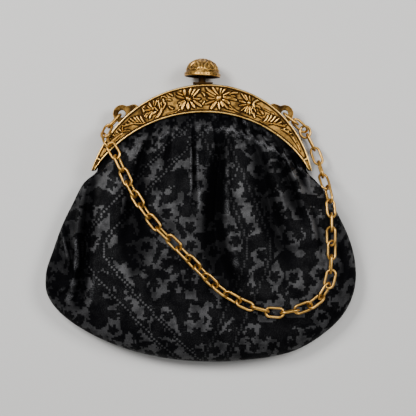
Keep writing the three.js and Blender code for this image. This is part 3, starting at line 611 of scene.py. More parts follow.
# Leaves, lobes and stems: root, tip, width, height above the field and how far the middle bows aside.
SPRAYS = (
    ((-30.6, 74.8), (-25.9, 82.2), 2.0, 1.6, -1.0), ((-26.5, 80.0), (-28.2, 86.8), 1.4, 1.5, 0.5),
    ((-26.6, 80.0), (-23.6, 85.2), 1.5, 1.6, -0.6), ((-24.0, 83.6), (-25.2, 87.6), 1.8, 1.5, 0.5),
    ((-26.8, 87.2), (-25.0, 90.0), 1.1, 1.1, 0.4), ((-26.0, 82.4), (-26.4, 85.6), 1.2, 0.9, 0.3),
    ((-26.6, 88.6), (-23.2, 87.8), 1.2, 0.9, 0.7), ((-22.3, 90.6), (-19.2, 88.8), 1.4, 1.0, 0.5),
    ((-22.0, 83.0), (-18.6, 81.2), 1.6, 1.3, -0.4), ((-23.6, 78.2), (-16.4, 79.8), 1.1, 0.8, -0.8),
    ((-38.9, 82.0), (-37.4, 78.6), 1.3, 0.9, 0.6), ((-22.8, 86.6), (-20.0, 86.2), 1.3, 0.9, 0.4),
    ((-16.4, 79.8), (-12.6, 81.2), 1.0, 0.7, 0.4), ((-1.6, 91.6), (0.6, 88.6), 1.3, 0.9, 0.4),
    ((-1.4, 83.4), (0.2, 86.4), 1.3, 0.9, -0.4), ((13.6, 87.8), (20.4, 86.4), 2.0, 1.3, 0.5),
    ((15.4, 90.2), (21.2, 91.0), 1.6, 1.1, 0.5), ((15.0, 84.4), (22.2, 78.8), 1.2, 0.9, -0.7),
    ((14.4, 82.2), (18.6, 80.8), 1.4, 1.0, -0.4), ((16.2, 88.9), (19.8, 88.8), 1.2, 0.9, 0.3),
    ((36.2, 85.9), (30.6, 84.4), 1.7, 1.6, -1.3), ((31.0, 85.8), (31.4, 81.8), 1.9, 1.7, -0.6),
    ((31.0, 82.6), (34.9, 81.0), 1.6, 1.5, 0.9), ((34.0, 80.8), (36.8, 77.4), 1.7, 1.3, 0.3),
    ((30.2, 84.0), (29.6, 81.0), 1.1, 1.2, 0.2), ((32.4, 79.2), (35.2, 77.6), 1.3, 1.1, -0.3),
    ((32.3, 77.2), (36.2, 75.2), 1.5, 1.1, 0.4), ((30.8, 79.2), (31.6, 75.4), 1.4, 1.0, -0.3),
    ((36.0, 81.3), (41.0, 78.7), 0.9, 0.8, 0.2), ((41.2, 79.0), (43.4, 77.6), 1.2, 0.9, 0.2),
    ((-36.0, 72.6), (-43.0, 72.2), 1.6, 1.3, 0.4), ((-42.0, 72.4), (-50.2, 70.2), 1.6, 1.2, -0.3),
    ((-36.2, 72.4), (-39.2, 77.2), 1.6, 1.5, 0.9), ((-38.3, 72.6), (-41.6, 76.9), 1.6, 1.4, 0.6),
    ((-40.2, 72.8), (-43.5, 76.3), 1.6, 1.4, 0.4), ((-42.0, 72.7), (-45.9, 75.5), 1.7, 1.4, 0.3),
    ((-43.7, 72.0), (-47.0, 73.8), 1.4, 1.3, 0.2), ((-46.0, 71.0), (-48.9, 72.2), 1.2, 1.2, 0.2),
    ((-47.8, 70.4), (-51.0, 71.0), 1.1, 1.1, 0.1), ((-45.2, 67.3), (-50.6, 66.8), 0.9, 1.1, -0.6),
    ((-50.4, 66.6), (-50.1, 69.8), 1.1, 1.3, 0.2), ((-50.8, 66.8), (-52.8, 69.0), 1.1, 1.2, 0.1),
    ((-50.0, 66.9), (-58.6, 59.9), 2.2, 1.0, 0.5), ((-53.0, 66.0), (-54.4, 67.4), 0.9, 0.9, 0.0),
    ((-55.2, 64.2), (-56.6, 65.4), 0.9, 0.9, 0.0), ((-57.2, 62.2), (-58.6, 63.2), 0.8, 0.8, 0.0),
    ((-58.4, 59.6), (-62.0, 53.4), 1.3, 0.9, 0.3), ((-60.0, 57.4), (-61.6, 58.2), 0.7, 0.8, 0.0),
    ((34.6, 73.4), (42.6, 72.0), 1.6, 1.3, -0.4), ((41.4, 72.2), (50.4, 70.0), 1.6, 1.2, 0.3),
    ((36.6, 73.2), (39.6, 77.4), 1.7, 1.5, -0.8), ((38.8, 73.0), (41.9, 77.6), 1.6, 1.4, -0.6),
    ((40.8, 72.8), (44.4, 76.8), 1.7, 1.5, -0.4), ((42.8, 72.5), (46.8, 75.8), 1.6, 1.4, -0.3),
    ((44.9, 72.0), (48.2, 73.2), 1.3, 1.3, -0.2), ((47.6, 71.0), (51.0, 71.4), 1.1, 1.1, -0.1),
    ((47.6, 68.6), (53.4, 65.0), 1.7, 1.3, 0.5), ((52.4, 65.8), (57.0, 59.8), 1.6, 1.2, 0.4),
    ((56.2, 61.0), (59.6, 55.0), 1.3, 1.0, 0.3), ((48.9, 68.0), (50.6, 69.4), 1.1, 1.3, 0.0),
    ((50.8, 66.7), (52.8, 67.7), 1.1, 1.3, 0.0), ((52.6, 65.3), (54.6, 65.9), 1.0, 1.2, 0.0),
    ((54.2, 63.2), (56.2, 63.6), 1.0, 1.2, 0.0), ((55.6, 61.0), (57.6, 61.2), 0.9, 1.1, 0.0),
    ((57.0, 58.6), (58.9, 58.6), 0.9, 1.0, 0.0),
)
# Cut lines that part the leaves of the arms from the plain bands beside the inner rim, and drilled dots.
CUTS = (
    ((-37.6, 71.5), (-42.2, 71.3), (-46.2, 70.2), (-50.4, 68.8)),
    ((-47.2, 65.8), (-51.8, 64.4), (-54.6, 61.8), (-58.2, 58.6), (-62.0, 52.4)),
    ((36.8, 72.4), (43.4, 71.0), (48.6, 69.2)),
    ((47.0, 68.0), (51.6, 64.6), (55.8, 59.0), (59.2, 54.0)),
)
DOTS = (
    (-46.8, 74.6), (-49.2, 73.0), (-51.2, 71.9), (-52.9, 70.2), (-54.9, 68.4), (-57.4, 66.0),
    (-59.2, 63.8), (-41.9, 78.3), (-40.3, 79.2), (49.6, 74.4), (52.2, 72.6), (53.6, 69.4), (55.2, 67.2),
    (56.9, 64.8), (58.3, 62.2), (59.4, 59.6), (37.7, 83.3), (60.4, 55.8),
)


def leaf(x, y, root, tip, width, rise, bow=0.0):
    """Half-round leaf, widest past its middle, pointed at both ends, and veined where it is broad."""
    run = np.subtract(tip, root)
    length = np.hypot(*run)
    cos, sin = run / length
    along = ((x - root[0]) * cos + (y - root[1]) * sin) / length
    inside = np.clip(along, 0, 1)
    aside = (y - root[1]) * cos - (x - root[0]) * sin - 4 * bow * inside * (1 - inside)
    skew = inside**1.25
    half = 0.55 * width * (4 * skew * (1 - skew)) ** 0.6 + 1e-4
    dome = np.sqrt(np.clip(1 - (aside / half) ** 2, 0, 1))
    vein = VEIN_DEEP * np.exp(-((aside / (VEIN_HALF * width)) ** 2)) if width > VEINED_WIDTH else 0
    return rise * np.where((along > 0) & (along < 1), dome * (0.65 + 0.35 * inside) * (1 - vein), 0)


def boss(x, y, centre, half, tilt, rise):
    """Top of a tilted ellipsoid on the field, pricked all over."""
    cos, sin = np.cos(tilt), np.sin(tilt)
    along = (x - centre[0]) * cos + (y - centre[1]) * sin
    aside = (y - centre[1]) * cos - (x - centre[0]) * sin
    pricks = BOSS_PRICK * np.sin(PRICK_TURNS * along) * np.sin(PRICK_TURNS * aside)
    far = (along / half[0]) ** 2 + (aside / half[1]) ** 2
    return rise * np.sqrt(np.clip(1 - far, 0, 1)) + np.where(far < 0.8, pricks, 0)


def frame_relief(x, y):
    """Cast relief above the field: the highest of the flowers and leaves, less the cuts and the dots."""
    rng = np.random.default_rng(PETAL_SEED)
    height = np.zeros_like(x)
    for centre, half, tilt, petals in FLOWERS:
        for petal in petals:
            height = np.maximum(height, leaf(x, y, *petal, bow=rng.uniform(-PETAL_BOW, PETAL_BOW)))
        height = np.maximum(height, boss(x, y, centre, half, tilt, BOSS_RISE))
    for spray in SPRAYS:
        height = np.maximum(height, leaf(x, y, *spray))
    for line in CUTS:
        near = np.full_like(x, np.inf)
        for (ax, ay), (bx, by) in zip(line, line[1:]):
            run = (bx - ax) ** 2 + (by - ay) ** 2
            share = np.clip(((x - ax) * (bx - ax) + (y - ay) * (by - ay)) / run, 0, 1)
            near = np.minimum(near, np.hypot(x - ax - share * (bx - ax), y - ay - share * (by - ay)))
        height -= CUT_DEEP * np.exp(-((near / CUT_HALF) ** 2))
    for spot in DOTS:
        height -= DOT_DEEP * np.exp(-((np.hypot(x - spot[0], y - spot[1]) / DOT_HALF) ** 2))
    return height


# Wear of the outer wall, the inner edge, the underside and the lip, then of the field: where it is level,
# for each mm above it, for each mm that a point lies below what is round it, as painted shade with the
# tarnish in the hollows, and for each mm that it lies above.
WALL_WEAR, EDGE_WEAR, UNDER_WEAR, LIP_WEAR = 0.45, 0.35, 0.1, 0.2
FIELD_WEAR, RAISED_WEAR, HOLLOW_SHADE, PROUD_WEAR = 0.45, 0.1, 2.4, 1.0
GUTTER_SHADE, GUTTER_SHADE_BAND = 0.4, (0.2, 0.9)
BAR_WEAR, TONGUE_WEAR, MOST_WEAR, WEAR_REACH = 0.6, -0.1, 1.1, 4


def frame_half(side, stations, field):
    """Closed bar along the crescent: outer wall, bead, sunk field with relief, bead, and hollow back."""
    t = np.linspace(-1, 1, stations)
    outer, inner = edge_point(OUTER_EDGE, t), edge_point(INNER_EDGE, t)
    width = np.linalg.norm(outer - inner, axis=-1)[:, None]
    rim = np.minimum(BEAD_WIDE, BEAD_SHARE * width)
    wall = np.minimum(WALL_THICK, WALL_SHARE * width)
    bar = 1 - smooth(*CROSSBAR_HALF, np.abs(np.abs(t) - CROSSBAR_T))
    tongue = TONGUE_RISE * smooth(CROSSBAR_T, CROSSBAR_T + TONGUE_EASE, np.abs(t))
    raised = (RIM_Z - FLOOR_Z) * np.maximum(bar, tongue)[:, None]
    sunk = 1 - np.minimum(raised, 1)
    across = rim + (width - 2 * rim) * np.linspace(0, 1, field)[None, :]
    place = outer[:, None] + (inner - outer)[:, None] * (across / width)[..., None]
    inland = np.minimum(across - rim, width - rim - across)
    relief = frame_relief(place[..., 0], place[..., 1]) * smooth(0, RELIEF_INSET, inland)
    relief *= 1 - smooth(*RELIEF_ENDS, np.abs(t))[:, None]
    relief -= GUTTER_DEEP * (1 - smooth(*GUTTER_WIDE, inland)) * sunk
    face = FLOOR_Z + np.maximum(relief, raised)
    detail = face - blur(face, WEAR_REACH)
    wear = FIELD_WEAR + RAISED_WEAR * (face - FLOOR_Z)
    # Points lower than what is round them are darkened as painted shade with the tarnish, and proud points
    # are rubbed bright.
    wear += np.where(detail < 0, HOLLOW_SHADE, PROUD_WEAR) * detail
    # Painted shade in the gutters beside the beads.
    wear -= GUTTER_SHADE * (1 - smooth(*GUTTER_SHADE_BAND, inland)) * sunk
    wear = np.clip(wear + (BAR_WEAR * bar + TONGUE_WEAR * tongue)[:, None], 0, MOST_WEAR)
    ones = np.ones_like(width)
    swing = np.linspace(np.pi, 0, BEAD_STEPS)[None, :-1]
    inner_foot = FLOOR_Z - BEAD_ROOT + (1 + BEAD_ROOT) * raised
    foot = np.where(swing > np.pi / 2, RIM_Z - BEAD_RISE, inner_foot)
    bead_z = foot + (RIM_Z - foot) * np.sin(swing)
    bead = rim * (0.5 + 0.5 * np.cos(swing))
    # Painted highlight: each bead is brightest along its top and darker down its sides.
    bright = MOST_WEAR * np.sin(swing) ** 1.5 * ones
    wall_z = np.linspace(LIP_Z, RIM_Z - BEAD_RISE, WALL_STEPS)[None, :-1] * ones
    edge_z = np.linspace(RIM_Z - BEAD_RISE, UNDER_Z, EDGE_STEPS)[None, 1:] * ones
    columns = (
        (wall_z * 0, wall_z, WALL_WEAR),
        (bead, bead_z, bright),
        (across, face, wear),
        (width - bead[:, ::-1], bead_z[:, ::-1], bright[:, ::-1]),
        (width * np.ones_like(edge_z), edge_z, EDGE_WEAR),
        (wall, UNDER_Z * ones, UNDER_WEAR),
        (wall, LIP_Z * ones, LIP_WEAR),
    )
    inwards = np.concatenate([column[0] for column in columns], axis=1)
    z = np.concatenate([column[1] for column in columns], axis=1)
    wear = np.concatenate([column[2] * np.ones_like(column[1]) for column in columns], axis=1)
    xy = outer[:, None] + (inner - outer)[:, None] * (inwards / width)[..., None]
    return np.concatenate([xy, (PARTING_Z + side * z)[..., None]], axis=-1), wear


def bar_faces(points, flip):
    """Quads of a bar of closed sections, with a cap on each end."""
    rows, columns = points.shape[:2]
    quads = grid_quads(rows, columns, closed=True)
    first = np.arange(columns)
    last = first + (rows - 1) * columns
    faces = quads.tolist() + [first[::-1].tolist(), last.tolist()]
    return [face[::-1] for face in faces] if flip else faces


front_points, front_wear = frame_half(1, FRONT_STATIONS, FRONT_FIELD)
front_faces = bar_faces(front_points, False)
frame_front = add_mesh(
    "frame_front_cast", front_points.reshape(-1, 3), front_faces, wear=front_wear.ravel(),
)

# Gilt: the tarnish where it is thick and thin, which also paints shade wherever the wear is low, the
# burnished edges, which also paint a highlight where the wear is highest, the clouds and pits to the metre,
# the ramps that each comes in by, and what pits and clouds do to the share of gold, the bump and the
# polish.
TARNISH_AND_SHADE, TARNISH_AND_SHADE_THIN = (0.011, 0.005, 0.002, 1), (0.046, 0.022, 0.006, 1)
BURNISHED_HIGHLIGHT = (0.95, 0.62, 0.19, 1)
CLOUD_SCALE, GRAIN_SCALE, GRAIN_DEPTH = 160.0, 1900.0, 0.0002
CLOUDED, PITTED, RUBBED_FROM = (0.3, 0.7), (0.5, 0.66), (0.55, 0.95)
GILT_FROM, BURNISHED_HIGHLIGHT_FROM = (0.18, 0.85), (0.85, 1.15)
PIT_SHARE, PIT_BUMP = (0.55, 0.0), (0.3, 0.06)
TARNISH_ROUGH, CLOUD_ROUGH = 0.52, (-0.05, 0.07)


def gilt(name, bright, worn, patchy=0.16):
    """Gilt metal by its wear: near-black tarnish with painted shade in the hollows and wherever wear is
    low, gold on what stands proud with a painted highlight where it is most worn, and pits.
    """
    metal = Nodes(name)
    place = metal.add("ShaderNodeTexCoord", output="Object")
    wear = metal.attribute("wear")
    cloud = metal.noise(place, scale=CLOUD_SCALE, detail=4.0, roughness=0.6)
    grain = metal.noise(place, scale=GRAIN_SCALE, detail=3.0, roughness=0.6)
    mixed = metal.math("ADD", wear, metal.ramp(cloud, *CLOUDED, -patchy, patchy))
    pits = metal.math("MULTIPLY", metal.ramp(grain, *PITTED), metal.ramp(wear, *RUBBED_FROM, *PIT_SHARE))
    tone = metal.math("MULTIPLY", metal.ramp(mixed, *GILT_FROM), metal.math("SUBTRACT", 1.0, pits))
    colour = metal.blend(tone, metal.blend(cloud, TARNISH_AND_SHADE, TARNISH_AND_SHADE_THIN), bright)
    # Painted highlight with burnish: the most worn points turn pale gold.
    colour = metal.blend(metal.ramp(mixed, *BURNISHED_HIGHLIGHT_FROM), colour, BURNISHED_HIGHLIGHT)
    rough = metal.ramp(tone, 0.0, 1.0, TARNISH_ROUGH, worn)
    rough = metal.math("ADD", rough, metal.ramp(cloud, *CLOUDED, *CLOUD_ROUGH))
    bump = metal.bump(grain, metal.ramp(wear, *RUBBED_FROM, *PIT_BUMP), GRAIN_DEPTH)
    return metal.finish(base_color=colour, metallic=1.0, roughness=rough, normal=bump)


CAST_GOLD = (0.66, 0.36, 0.085, 1)
cast_gilt = gilt("cast_gilt", CAST_GOLD, worn=0.3)
frame_front.data.materials.append(cast_gilt)
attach(frame_front, "purse")
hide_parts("frame_front")

# The frame's back half is the same casting turned over. Two flat ears are cast on behind its top, each
# a pierced lobe for the chain beside a smaller lobe.
BACK_STATIONS, BACK_FIELD = 420, 60
# Ears: the middle of the hole, the radius of its lobe, the middle of the small lobe and its radius.
EARS = (((-51.1, 78.5), 5.7, (-43.9, 80.7), 4.0), ((50.2, 78.5), 5.6, (43.6, 81.2), 3.9))
EAR_HOLE, EAR_THICK, EAR_Z = 2.2, 1.3, 10.8
EAR_STEPS, EAR_SIDES = 96, 40
# The raised border of an ear and the rubbed line along it, as shares of the way out from its middle.
BORDER_HIGH, BORDER_AT, BORDER_HALF = 0.3, 0.84, 0.08
EAR_WEAR, RUB_WEAR, RUB_AT, RUB_HALF = 0.31, 0.55, 0.88, 0.1


def ear_plate(hole, lobe, second, small):
    """Flat ring with rounded edges from the hole to the edge of two joined discs, as seen from the hole."""
    turn = np.linspace(0, 2 * np.pi, EAR_STEPS, endpoint=False)[:, None]
    dx, dy = second[0] - hole[0], second[1] - hole[1]
    along = dx * np.cos(turn) + dy * np.sin(turn)
    aside = dy * np.cos(turn) - dx * np.sin(turn)
    far_side = along + np.sqrt(np.clip(small**2 - aside**2, 0, None))
    edge = np.maximum(lobe, np.where((np.abs(aside) < small) & (along > 0), far_side, 0))
    edge = np.mean([np.roll(edge, k, axis=0) for k in (-2, -1, 0, 1, 2)], axis=0)
    swing = np.linspace(0, 2 * np.pi, EAR_SIDES, endpoint=False)[None, :]
    out = np.sign(np.cos(swing)) * np.abs(np.cos(swing)) ** 0.25
    up = np.sign(np.sin(swing)) * np.abs(np.sin(swing)) ** 0.45
    radius = (EAR_HOLE + edge) / 2 + (edge - EAR_HOLE) / 2 * out
    border = BORDER_HIGH * np.exp(-(((out - BORDER_AT) / BORDER_HALF) ** 2)) * (up > 0)
    z = EAR_Z + EAR_THICK / 2 * up + border * np.ones_like(radius)
    points = np.stack([hole[0] + radius * np.cos(turn), hole[1] + radius * np.sin(turn), z], axis=-1)
    wear = EAR_WEAR + RUB_WEAR * np.exp(-(((out - RUB_AT) / RUB_HALF) ** 2)) * np.ones_like(radius)
    return points, wear


def ring_quads(rows, columns):
    """Quads of a grid that closes both along its rows and round them."""
    index = np.arange(rows * columns).reshape(rows, columns)
    right = np.roll(index, -1, axis=1)
    above, across = np.roll(index, -1, axis=0), np.roll(right, -1, axis=0)
    return np.stack([index, right, across, above], axis=-1).reshape(-1, 4)


back_points, back_wear = frame_half(-1, BACK_STATIONS, BACK_FIELD)
back_faces = bar_faces(back_points, True)
back_all, back_worn = [back_points.reshape(-1, 3)], [back_wear.ravel()]
for ear in EARS:
    ear_points, ear_wear = ear_plate(*ear)
    start = sum(len(points) for points in back_all)
    back_faces += (ring_quads(*ear_points.shape[:2])[:, ::-1] + start).tolist()
    back_all.append(ear_points.reshape(-1, 3))
    back_worn.append(ear_wear.ravel())
frame_back = add_mesh(
    "frame_back_cast", np.concatenate(back_all), back_faces, wear=np.concatenate(back_worn),
)
frame_back.data.materials.append(cast_gilt)
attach(frame_back, "purse")
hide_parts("frame_back")

# The hinge posts at the frame's tips are plain brass, and the small plate under the knob is cut from gilt
# sheet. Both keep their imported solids. These carry no wear, so they show the tarnish alone.
POST_BRASS = (0.55, 0.40, 0.17, 1)
pin_brass = gilt("pin_brass", POST_BRASS, worn=0.42)
for name in ("hinge_left", "hinge_right"):
    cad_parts[name].data.materials.clear()
    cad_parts[name].data.materials.append(pin_brass)
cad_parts["catch_plate"].data.materials.clear()
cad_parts["catch_plate"].data.materials.append(cast_gilt)

# The press knob is cast hollow, in one with its stem. Six hearts in raised outline are chased round the
# dome, among leaves and under a small rosette, above a stepped and pricked rim. It is pressed down along
# its stem to free the catch.
KNOB_SEAT, KNOB_LEAN = (-1.1, 101.4), np.radians(2.5)
KNOB_TURNS, KNOB_UNDER_STEPS = 360, 90
# Stem and inside of the knob from the stem's foot: radius and height.
KNOB_UNDER = ((2.2, -8.7), (2.2, 8.6), (5, 7.8), (7.6, 5.8), (8.8, 2.9), (9.0, 0.4), (9.5, 0.05))
# Rim of the knob from its underside up to the dome: radius, height and wear, which is low in its steps as
# painted shade. Its side has a row for each of the heights that the pricks need.
RIM_SIDE = tuple((11.25, z, 0.6) for z in (0.5, 0.75, 1.0, 1.2, 1.4, 1.6, 2.0))
KNOB_RIM = np.array((
    (10.7, 0, 0.3), (11.05, 0.08, 0.5), (11.2, 0.25, 0.9),
    *RIM_SIDE,
    (11.2, 2.15, 0.95), (11.05, 2.22, 0.5), (10.6, 2.25, 0.15), (10.46, 2.32, 0.1), (10.42, 2.45, 0.3),
    (10.42, 2.95, 0.6), (10.36, 3.08, 0.75), (10.25, 3.14, 0.4), (10.0, 3.18, 0.1), (9.93, 3.24, 0.05),
    (9.9, 3.36, 0.1),
))
# The dome is a quarter turn of an ellipse. DOME_WALK is the way up it in mm for each radian of that turn.
DOME_RADIUS, DOME_FOOT, DOME_HIGH, DOME_WALK = 9.9, 3.4, 7.6, 8.7
DOME_STEPS = 110
DOME_CLIMB = np.linspace(0, np.pi / 2, DOME_STEPS)[:-1]
HEARTS, HEART_TURN = 6, 1.1
HEART_UP, HEART_HALF, HEART_TALL, HEART_LINE = 4.3, 3.3, 3.0, 0.55
# The rosette's petals and the button on top, by how far up the dome's quarter turn they start and end.
ROSETTE_PETALS, ROSETTE_HIGH = 8, 0.9
ROSETTE_FROM, ROSETTE_TO, BUTTON_FROM = (1.2, 1.26), (1.42, 1.46), (1.46, 1.5)
CHASE_HIGH = 0.55
RIM_PRICKS, PRICK_HIGH, PRICK_DEEP = 32, 1.2, 0.28
PRICK_HALF, PRICK_TALL = 0.34, 0.3
# Leaves in, beside and above a heart: root and tip in mm round and up the dome, width, height and bow.
KNOB_LEAVES = (
    ((0, 6.3), (0, 2.6), 1.7, 0.8, 0.0),
    ((5.2, 0.6), (5.2, 5.4), 1.8, 0.9, 0.0), ((-5.2, 0.6), (-5.2, 5.4), 1.8, 0.9, 0.0),
    ((3.6, 6.0), (1.4, 10.4), 1.7, 0.9, 0.4), ((-3.6, 6.0), (-1.4, 10.4), 1.7, 0.9, -0.4),
)
# Wear of the stem, kept low as painted shade under the knob, what the pricks take off, and the wear of the
# dome: its level, the gain with the height of the chasing, the loss with the mean height within some steps,
# and the most.
STEM_SHADE, PRICK_WEAR = 0.1, 0.5
DOME_WEAR, CHASE_WEAR, ROUND_WEAR, DOME_REACH, DOME_MOST = 0.5, 0.85, 0.65, 5, 1.05


def knob_profile():
    """Radius and height: up the stem, down inside the dome, round the stepped rim, and up an ellipse."""
    under = np.array(KNOB_UNDER, dtype=float)
    steps = np.concatenate([[0], np.cumsum(np.hypot(*np.diff(under, axis=0).T))])
    fine = np.linspace(0, steps[-1], KNOB_UNDER_STEPS)
    inside = np.stack([np.interp(fine, steps, under[:, k]) for k in (0, 1)], axis=-1)
    dome_r, dome_z = DOME_RADIUS * np.cos(DOME_CLIMB), DOME_FOOT + DOME_HIGH * np.sin(DOME_CLIMB)
    return np.concatenate([inside, KNOB_RIM[:, :2], np.stack([dome_r, dome_z], axis=-1)])


def knob_relief(turn, climb):
    """Chasing on the dome: hearts in raised outline, points up, among leaves, and a rosette on top."""
    share = ((turn - HEART_TURN) * HEARTS / (2 * np.pi) + 0.5) % 1 - 0.5
    round_mm = share * 2 * np.pi / HEARTS * DOME_RADIUS * np.cos(0.7 * climb)
    up_mm = climb * DOME_WALK * np.ones_like(turn)
    sunk = 1.05 * (HEART_UP - up_mm) / HEART_TALL - 0.7 * np.sqrt(np.abs(round_mm) / HEART_HALF)
    far = np.hypot(round_mm / HEART_HALF, sunk)
    heart = np.exp(-((HEART_HALF * (far - 1) / HEART_LINE) ** 2))
    leaves = [leaf(round_mm, up_mm, *row) for row in KNOB_LEAVES]
    petals = 0.55 + 0.45 * np.cos(ROSETTE_PETALS * turn)
    rosette = smooth(*ROSETTE_FROM, climb) * petals * (1 - smooth(*ROSETTE_TO, climb))
    button = smooth(*BUTTON_FROM, climb)
    return np.maximum.reduce(np.broadcast_arrays(heart, *leaves, ROSETTE_HIGH * rosette, button))


profile = knob_profile()
dome = np.s_[:, -len(DOME_CLIMB):]
rim = np.s_[:, -len(DOME_CLIMB) - len(KNOB_RIM):-len(DOME_CLIMB)]
turn = np.linspace(0, 2 * np.pi, KNOB_TURNS, endpoint=False)[:, None]
rim_girth = 2 * np.pi * KNOB_RIM[:, 0].max()
prick = rim_girth / RIM_PRICKS * ((turn * RIM_PRICKS / (2 * np.pi)) % 1 - 0.5)
prick = np.exp(-((prick / PRICK_HALF) ** 2) - ((KNOB_RIM[None, :, 1] - PRICK_HIGH) / PRICK_TALL) ** 2)
chased = np.zeros((len(turn), len(profile)))
chased[dome] = knob_relief(turn, DOME_CLIMB[None, :])
chased[rim] = -PRICK_DEEP * prick
out = np.gradient(profile, axis=0) @ np.array([[0, -1], [1, 0]])
out = -out / np.maximum(np.linalg.norm(out, axis=-1, keepdims=True), 1e-9)
# The last row is the top of the dome, where outwards is up.
out *= np.sign(out[-1, 1])
ring_r = profile[:, 0] + CHASE_HIGH * chased * out[:, 0]
ring_h = profile[:, 1] + CHASE_HIGH * chased * out[:, 1]
knob_local = np.stack([ring_r * np.cos(turn), ring_h * np.ones_like(turn), ring_r * np.sin(turn)], axis=-1)
lean = np.array([
    (np.cos(KNOB_LEAN), np.sin(KNOB_LEAN), 0),
    (-np.sin(KNOB_LEAN), np.cos(KNOB_LEAN), 0),
    (0, 0, 1),
])
knob_points = knob_local @ lean.T + (*KNOB_SEAT, PARTING_Z)
knob_wear = np.full(chased.shape, STEM_SHADE)
knob_wear[rim] = KNOB_RIM[:, 2] - PRICK_WEAR * prick
dome_wear = DOME_WEAR + CHASE_WEAR * chased[dome] - ROUND_WEAR * blur(chased[dome], DOME_REACH)
knob_wear[dome] = np.clip(dome_wear, 0, DOME_MOST)
knob_rings = knob_points.transpose(1, 0, 2)
knob = add_mesh(
    "press_knob_cast", knob_rings.reshape(-1, 3), bar_faces(knob_rings, True), wear=knob_wear.T.ravel(),
)
knob.data.materials.append(cast_gilt)
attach(knob, "knob")
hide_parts("press_knob")

# The chain is gilt brass wire: long loops with one round ring near its right end, each closed through
# the next. It runs from ear to ear across the front of the bag, and presses into the cloth where it lies.
RING_NODE = "link_37"
# Half length of a link's straight sides, radius of its bends, radius of the round ring, and of the wire.
LINK_STRAIGHT, LINK_BEND, RING_BEND, WIRE = 2.87, 2.75, 3.65, 0.79
# The share of a link's shape that is a drawn-apart ring. The rest is an ellipse.
LINK_SQUARE = 0.9
LINK_STEPS, WIRE_SIDES = 56, 14
# Wear of the wire at its sides, and the painted highlight that it gains on top and the painted shade that
# it takes on below.
LINK_RUBBED, LINK_TOP_LIGHT = 0.52, 0.42
# How far the cloth stays below the wire, how steeply it may rise away from it, and how far off that holds.
PRESS_GAP, PRESS_SLOPE, PRESS_REACH = 0.2, 0.7, 5.0
CHAIN_GOLD = (0.66, 0.36, 0.08, 1)
chain_gilt = gilt("chain_gilt", CHAIN_GOLD, worn=0.38, patchy=0.07)


def wire_loop(straight, bend):
    """Round wire bent to a loop: mostly a drawn-apart ring, eased towards the ellipse of the same size."""
    turn = np.linspace(0, 2 * np.pi, LINK_STEPS, endpoint=False)[:, None] + np.pi / LINK_STEPS
    swing = np.linspace(0, 2 * np.pi, WIRE_SIDES, endpoint=False)[None, :]
    pull = LINK_SQUARE * np.sign(np.cos(turn)) + (1 - LINK_SQUARE) * np.cos(turn)
    x = bend * np.cos(turn) + straight * pull
    y = bend * np.sin(turn)
    away = np.stack([np.roll(y, -1) - np.roll(y, 1), np.roll(x, 1) - np.roll(x, -1)], axis=-1)
    away /= np.linalg.norm(away, axis=-1, keepdims=True)
    out = WIRE * np.cos(swing)
    up = WIRE * np.sin(swing) * np.ones_like(turn)
    return np.stack([x + out * away[..., 0], y + out * away[..., 1], up], axis=-1)


def pressed(cloth_points, wire_points):
    """Cloth kept under the wire: below each point's height, less a gap, plus slope * distance in plan."""
    low = wire_points[:, :2].min(axis=0) - PRESS_REACH
    high = wire_points[:, :2].max(axis=0) + PRESS_REACH
    near = np.all((cloth_points[:, :2] > low) & (cloth_points[:, :2] < high), axis=1)
    away = np.linalg.norm(cloth_points[near, None, :2] - wire_points[None, :, :2], axis=-1)
    roof = (wire_points[:, 2] - PRESS_GAP + PRESS_SLOPE * away).min(axis=1)
    kept = cloth_points.copy()
    kept[near, 2] = np.minimum(kept[near, 2], roof)
    return kept


bag_points = bag_grid.reshape(-1, 3)
link_faces = ring_quads(LINK_STEPS, WIRE_SIDES)[:, ::-1].tolist()
for name in sorted(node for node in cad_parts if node.startswith("link_")):
    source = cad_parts[name].data
    spots = np.empty(3 * len(source.vertices))
    source.vertices.foreach_get("co", spots)
    spots = np.unique(np.round(spots.reshape(-1, 3) / MM, 3), axis=0)
    axes = np.linalg.svd(spots - spots.mean(axis=0), full_matrices=False)[2]
    axes[2] *= np.sign(np.linalg.det(axes))
    loop = wire_loop(0, RING_BEND) if name == RING_NODE else wire_loop(LINK_STRAIGHT, LINK_BEND)
    link_points = loop.reshape(-1, 3) @ axes + spots.mean(axis=0)
    bag_points = pressed(bag_points, link_points)
    outward = (loop - loop.mean(axis=1, keepdims=True)).reshape(-1, 3) @ axes / WIRE
    # Painted highlight on the top of each wire and painted shade below it, by how its surface faces up.
    link_wear_and_light = LINK_RUBBED + LINK_TOP_LIGHT * outward[:, 2]
    link = add_mesh(f"{name}_wire", link_points, link_faces, wear=link_wear_and_light)
    link.data.materials.append(chain_gilt)
    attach(link, "purse")
    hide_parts(name)
bag.data.vertices.foreach_set("co", (bag_points * MM).astype(np.float32).ravel())
bag.data.update()

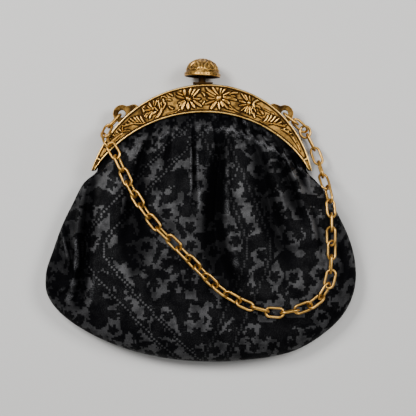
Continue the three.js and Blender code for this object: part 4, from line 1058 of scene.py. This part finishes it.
# The stage is a plain pale floor under soft studio light, seen straight from above.
FLOOR_HALF, PAPER = 3, (0.72, 0.71, 0.69, 1)
floor_corners = [(FLOOR_HALF * x, FLOOR_HALF * y, 0) for x, y in ((-1, -1), (1, -1), (1, 1), (-1, 1))]
floor_mesh = bpy.data.meshes.new("floor")
floor_mesh.from_pydata(floor_corners, [], [(0, 1, 2, 3)])
floor = bpy.data.objects.new("floor", floor_mesh)
bpy.context.scene.collection.objects.link(floor)
paper = Nodes("floor_paper")
floor.data.materials.append(paper.finish(base_color=PAPER, roughness=0.8))

STUDIO_GREY, STUDIO_STRENGTH = (0.30, 0.31, 0.33, 1), 0.2
world = bpy.data.worlds.new("studio")
bpy.context.scene.world = world
world.use_nodes = True
studio = world.node_tree.nodes["Background"]
studio.inputs["Color"].default_value = STUDIO_GREY
studio.inputs["Strength"].default_value = STUDIO_STRENGTH
# Soft lamps: name, place, the point that it faces, the side of its square and its power in watts.
LIGHTS = (
    ("key", (-0.42, 0.36, 0.72), (0.0, 0.02, 0.02), 0.28, 6.8),
    ("top", (-0.08, 0.22, 1.15), (0.0, 0.02, 0.02), 0.55, 3.0),
    ("fill", (0.55, 0.3, 0.75), (0.0, 0.0, 0.02), 0.35, 5.8),
    ("rim", (0.0, -0.8, 0.6), (0.0, 0.0, 0.02), 0.4, 1.2),
)
for name, place, aim, size, power in LIGHTS:
    lamp = bpy.data.lights.new(name, "AREA")
    lamp.size = size
    lamp.energy = power
    light = bpy.data.objects.new(name, lamp)
    bpy.context.scene.collection.objects.link(light)
    away = np.array(place) - np.array(aim)
    tilt = np.arccos(away[2] / np.linalg.norm(away))
    light.location = place
    light.rotation_euler = (tilt, 0, np.arctan2(away[1], away[0]) + np.pi / 2)

CAMERA_PLACE, FOCAL_LENGTH, SENSOR_WIDTH = (0.00248, 0.01984, 0.8), 109.6, 36
lens = bpy.data.cameras.new("camera")
lens.sensor_width = SENSOR_WIDTH
lens.lens = FOCAL_LENGTH
camera = bpy.data.objects.new("camera", lens)
camera.location = CAMERA_PLACE
bpy.context.scene.collection.objects.link(camera)
bpy.context.scene.camera = camera
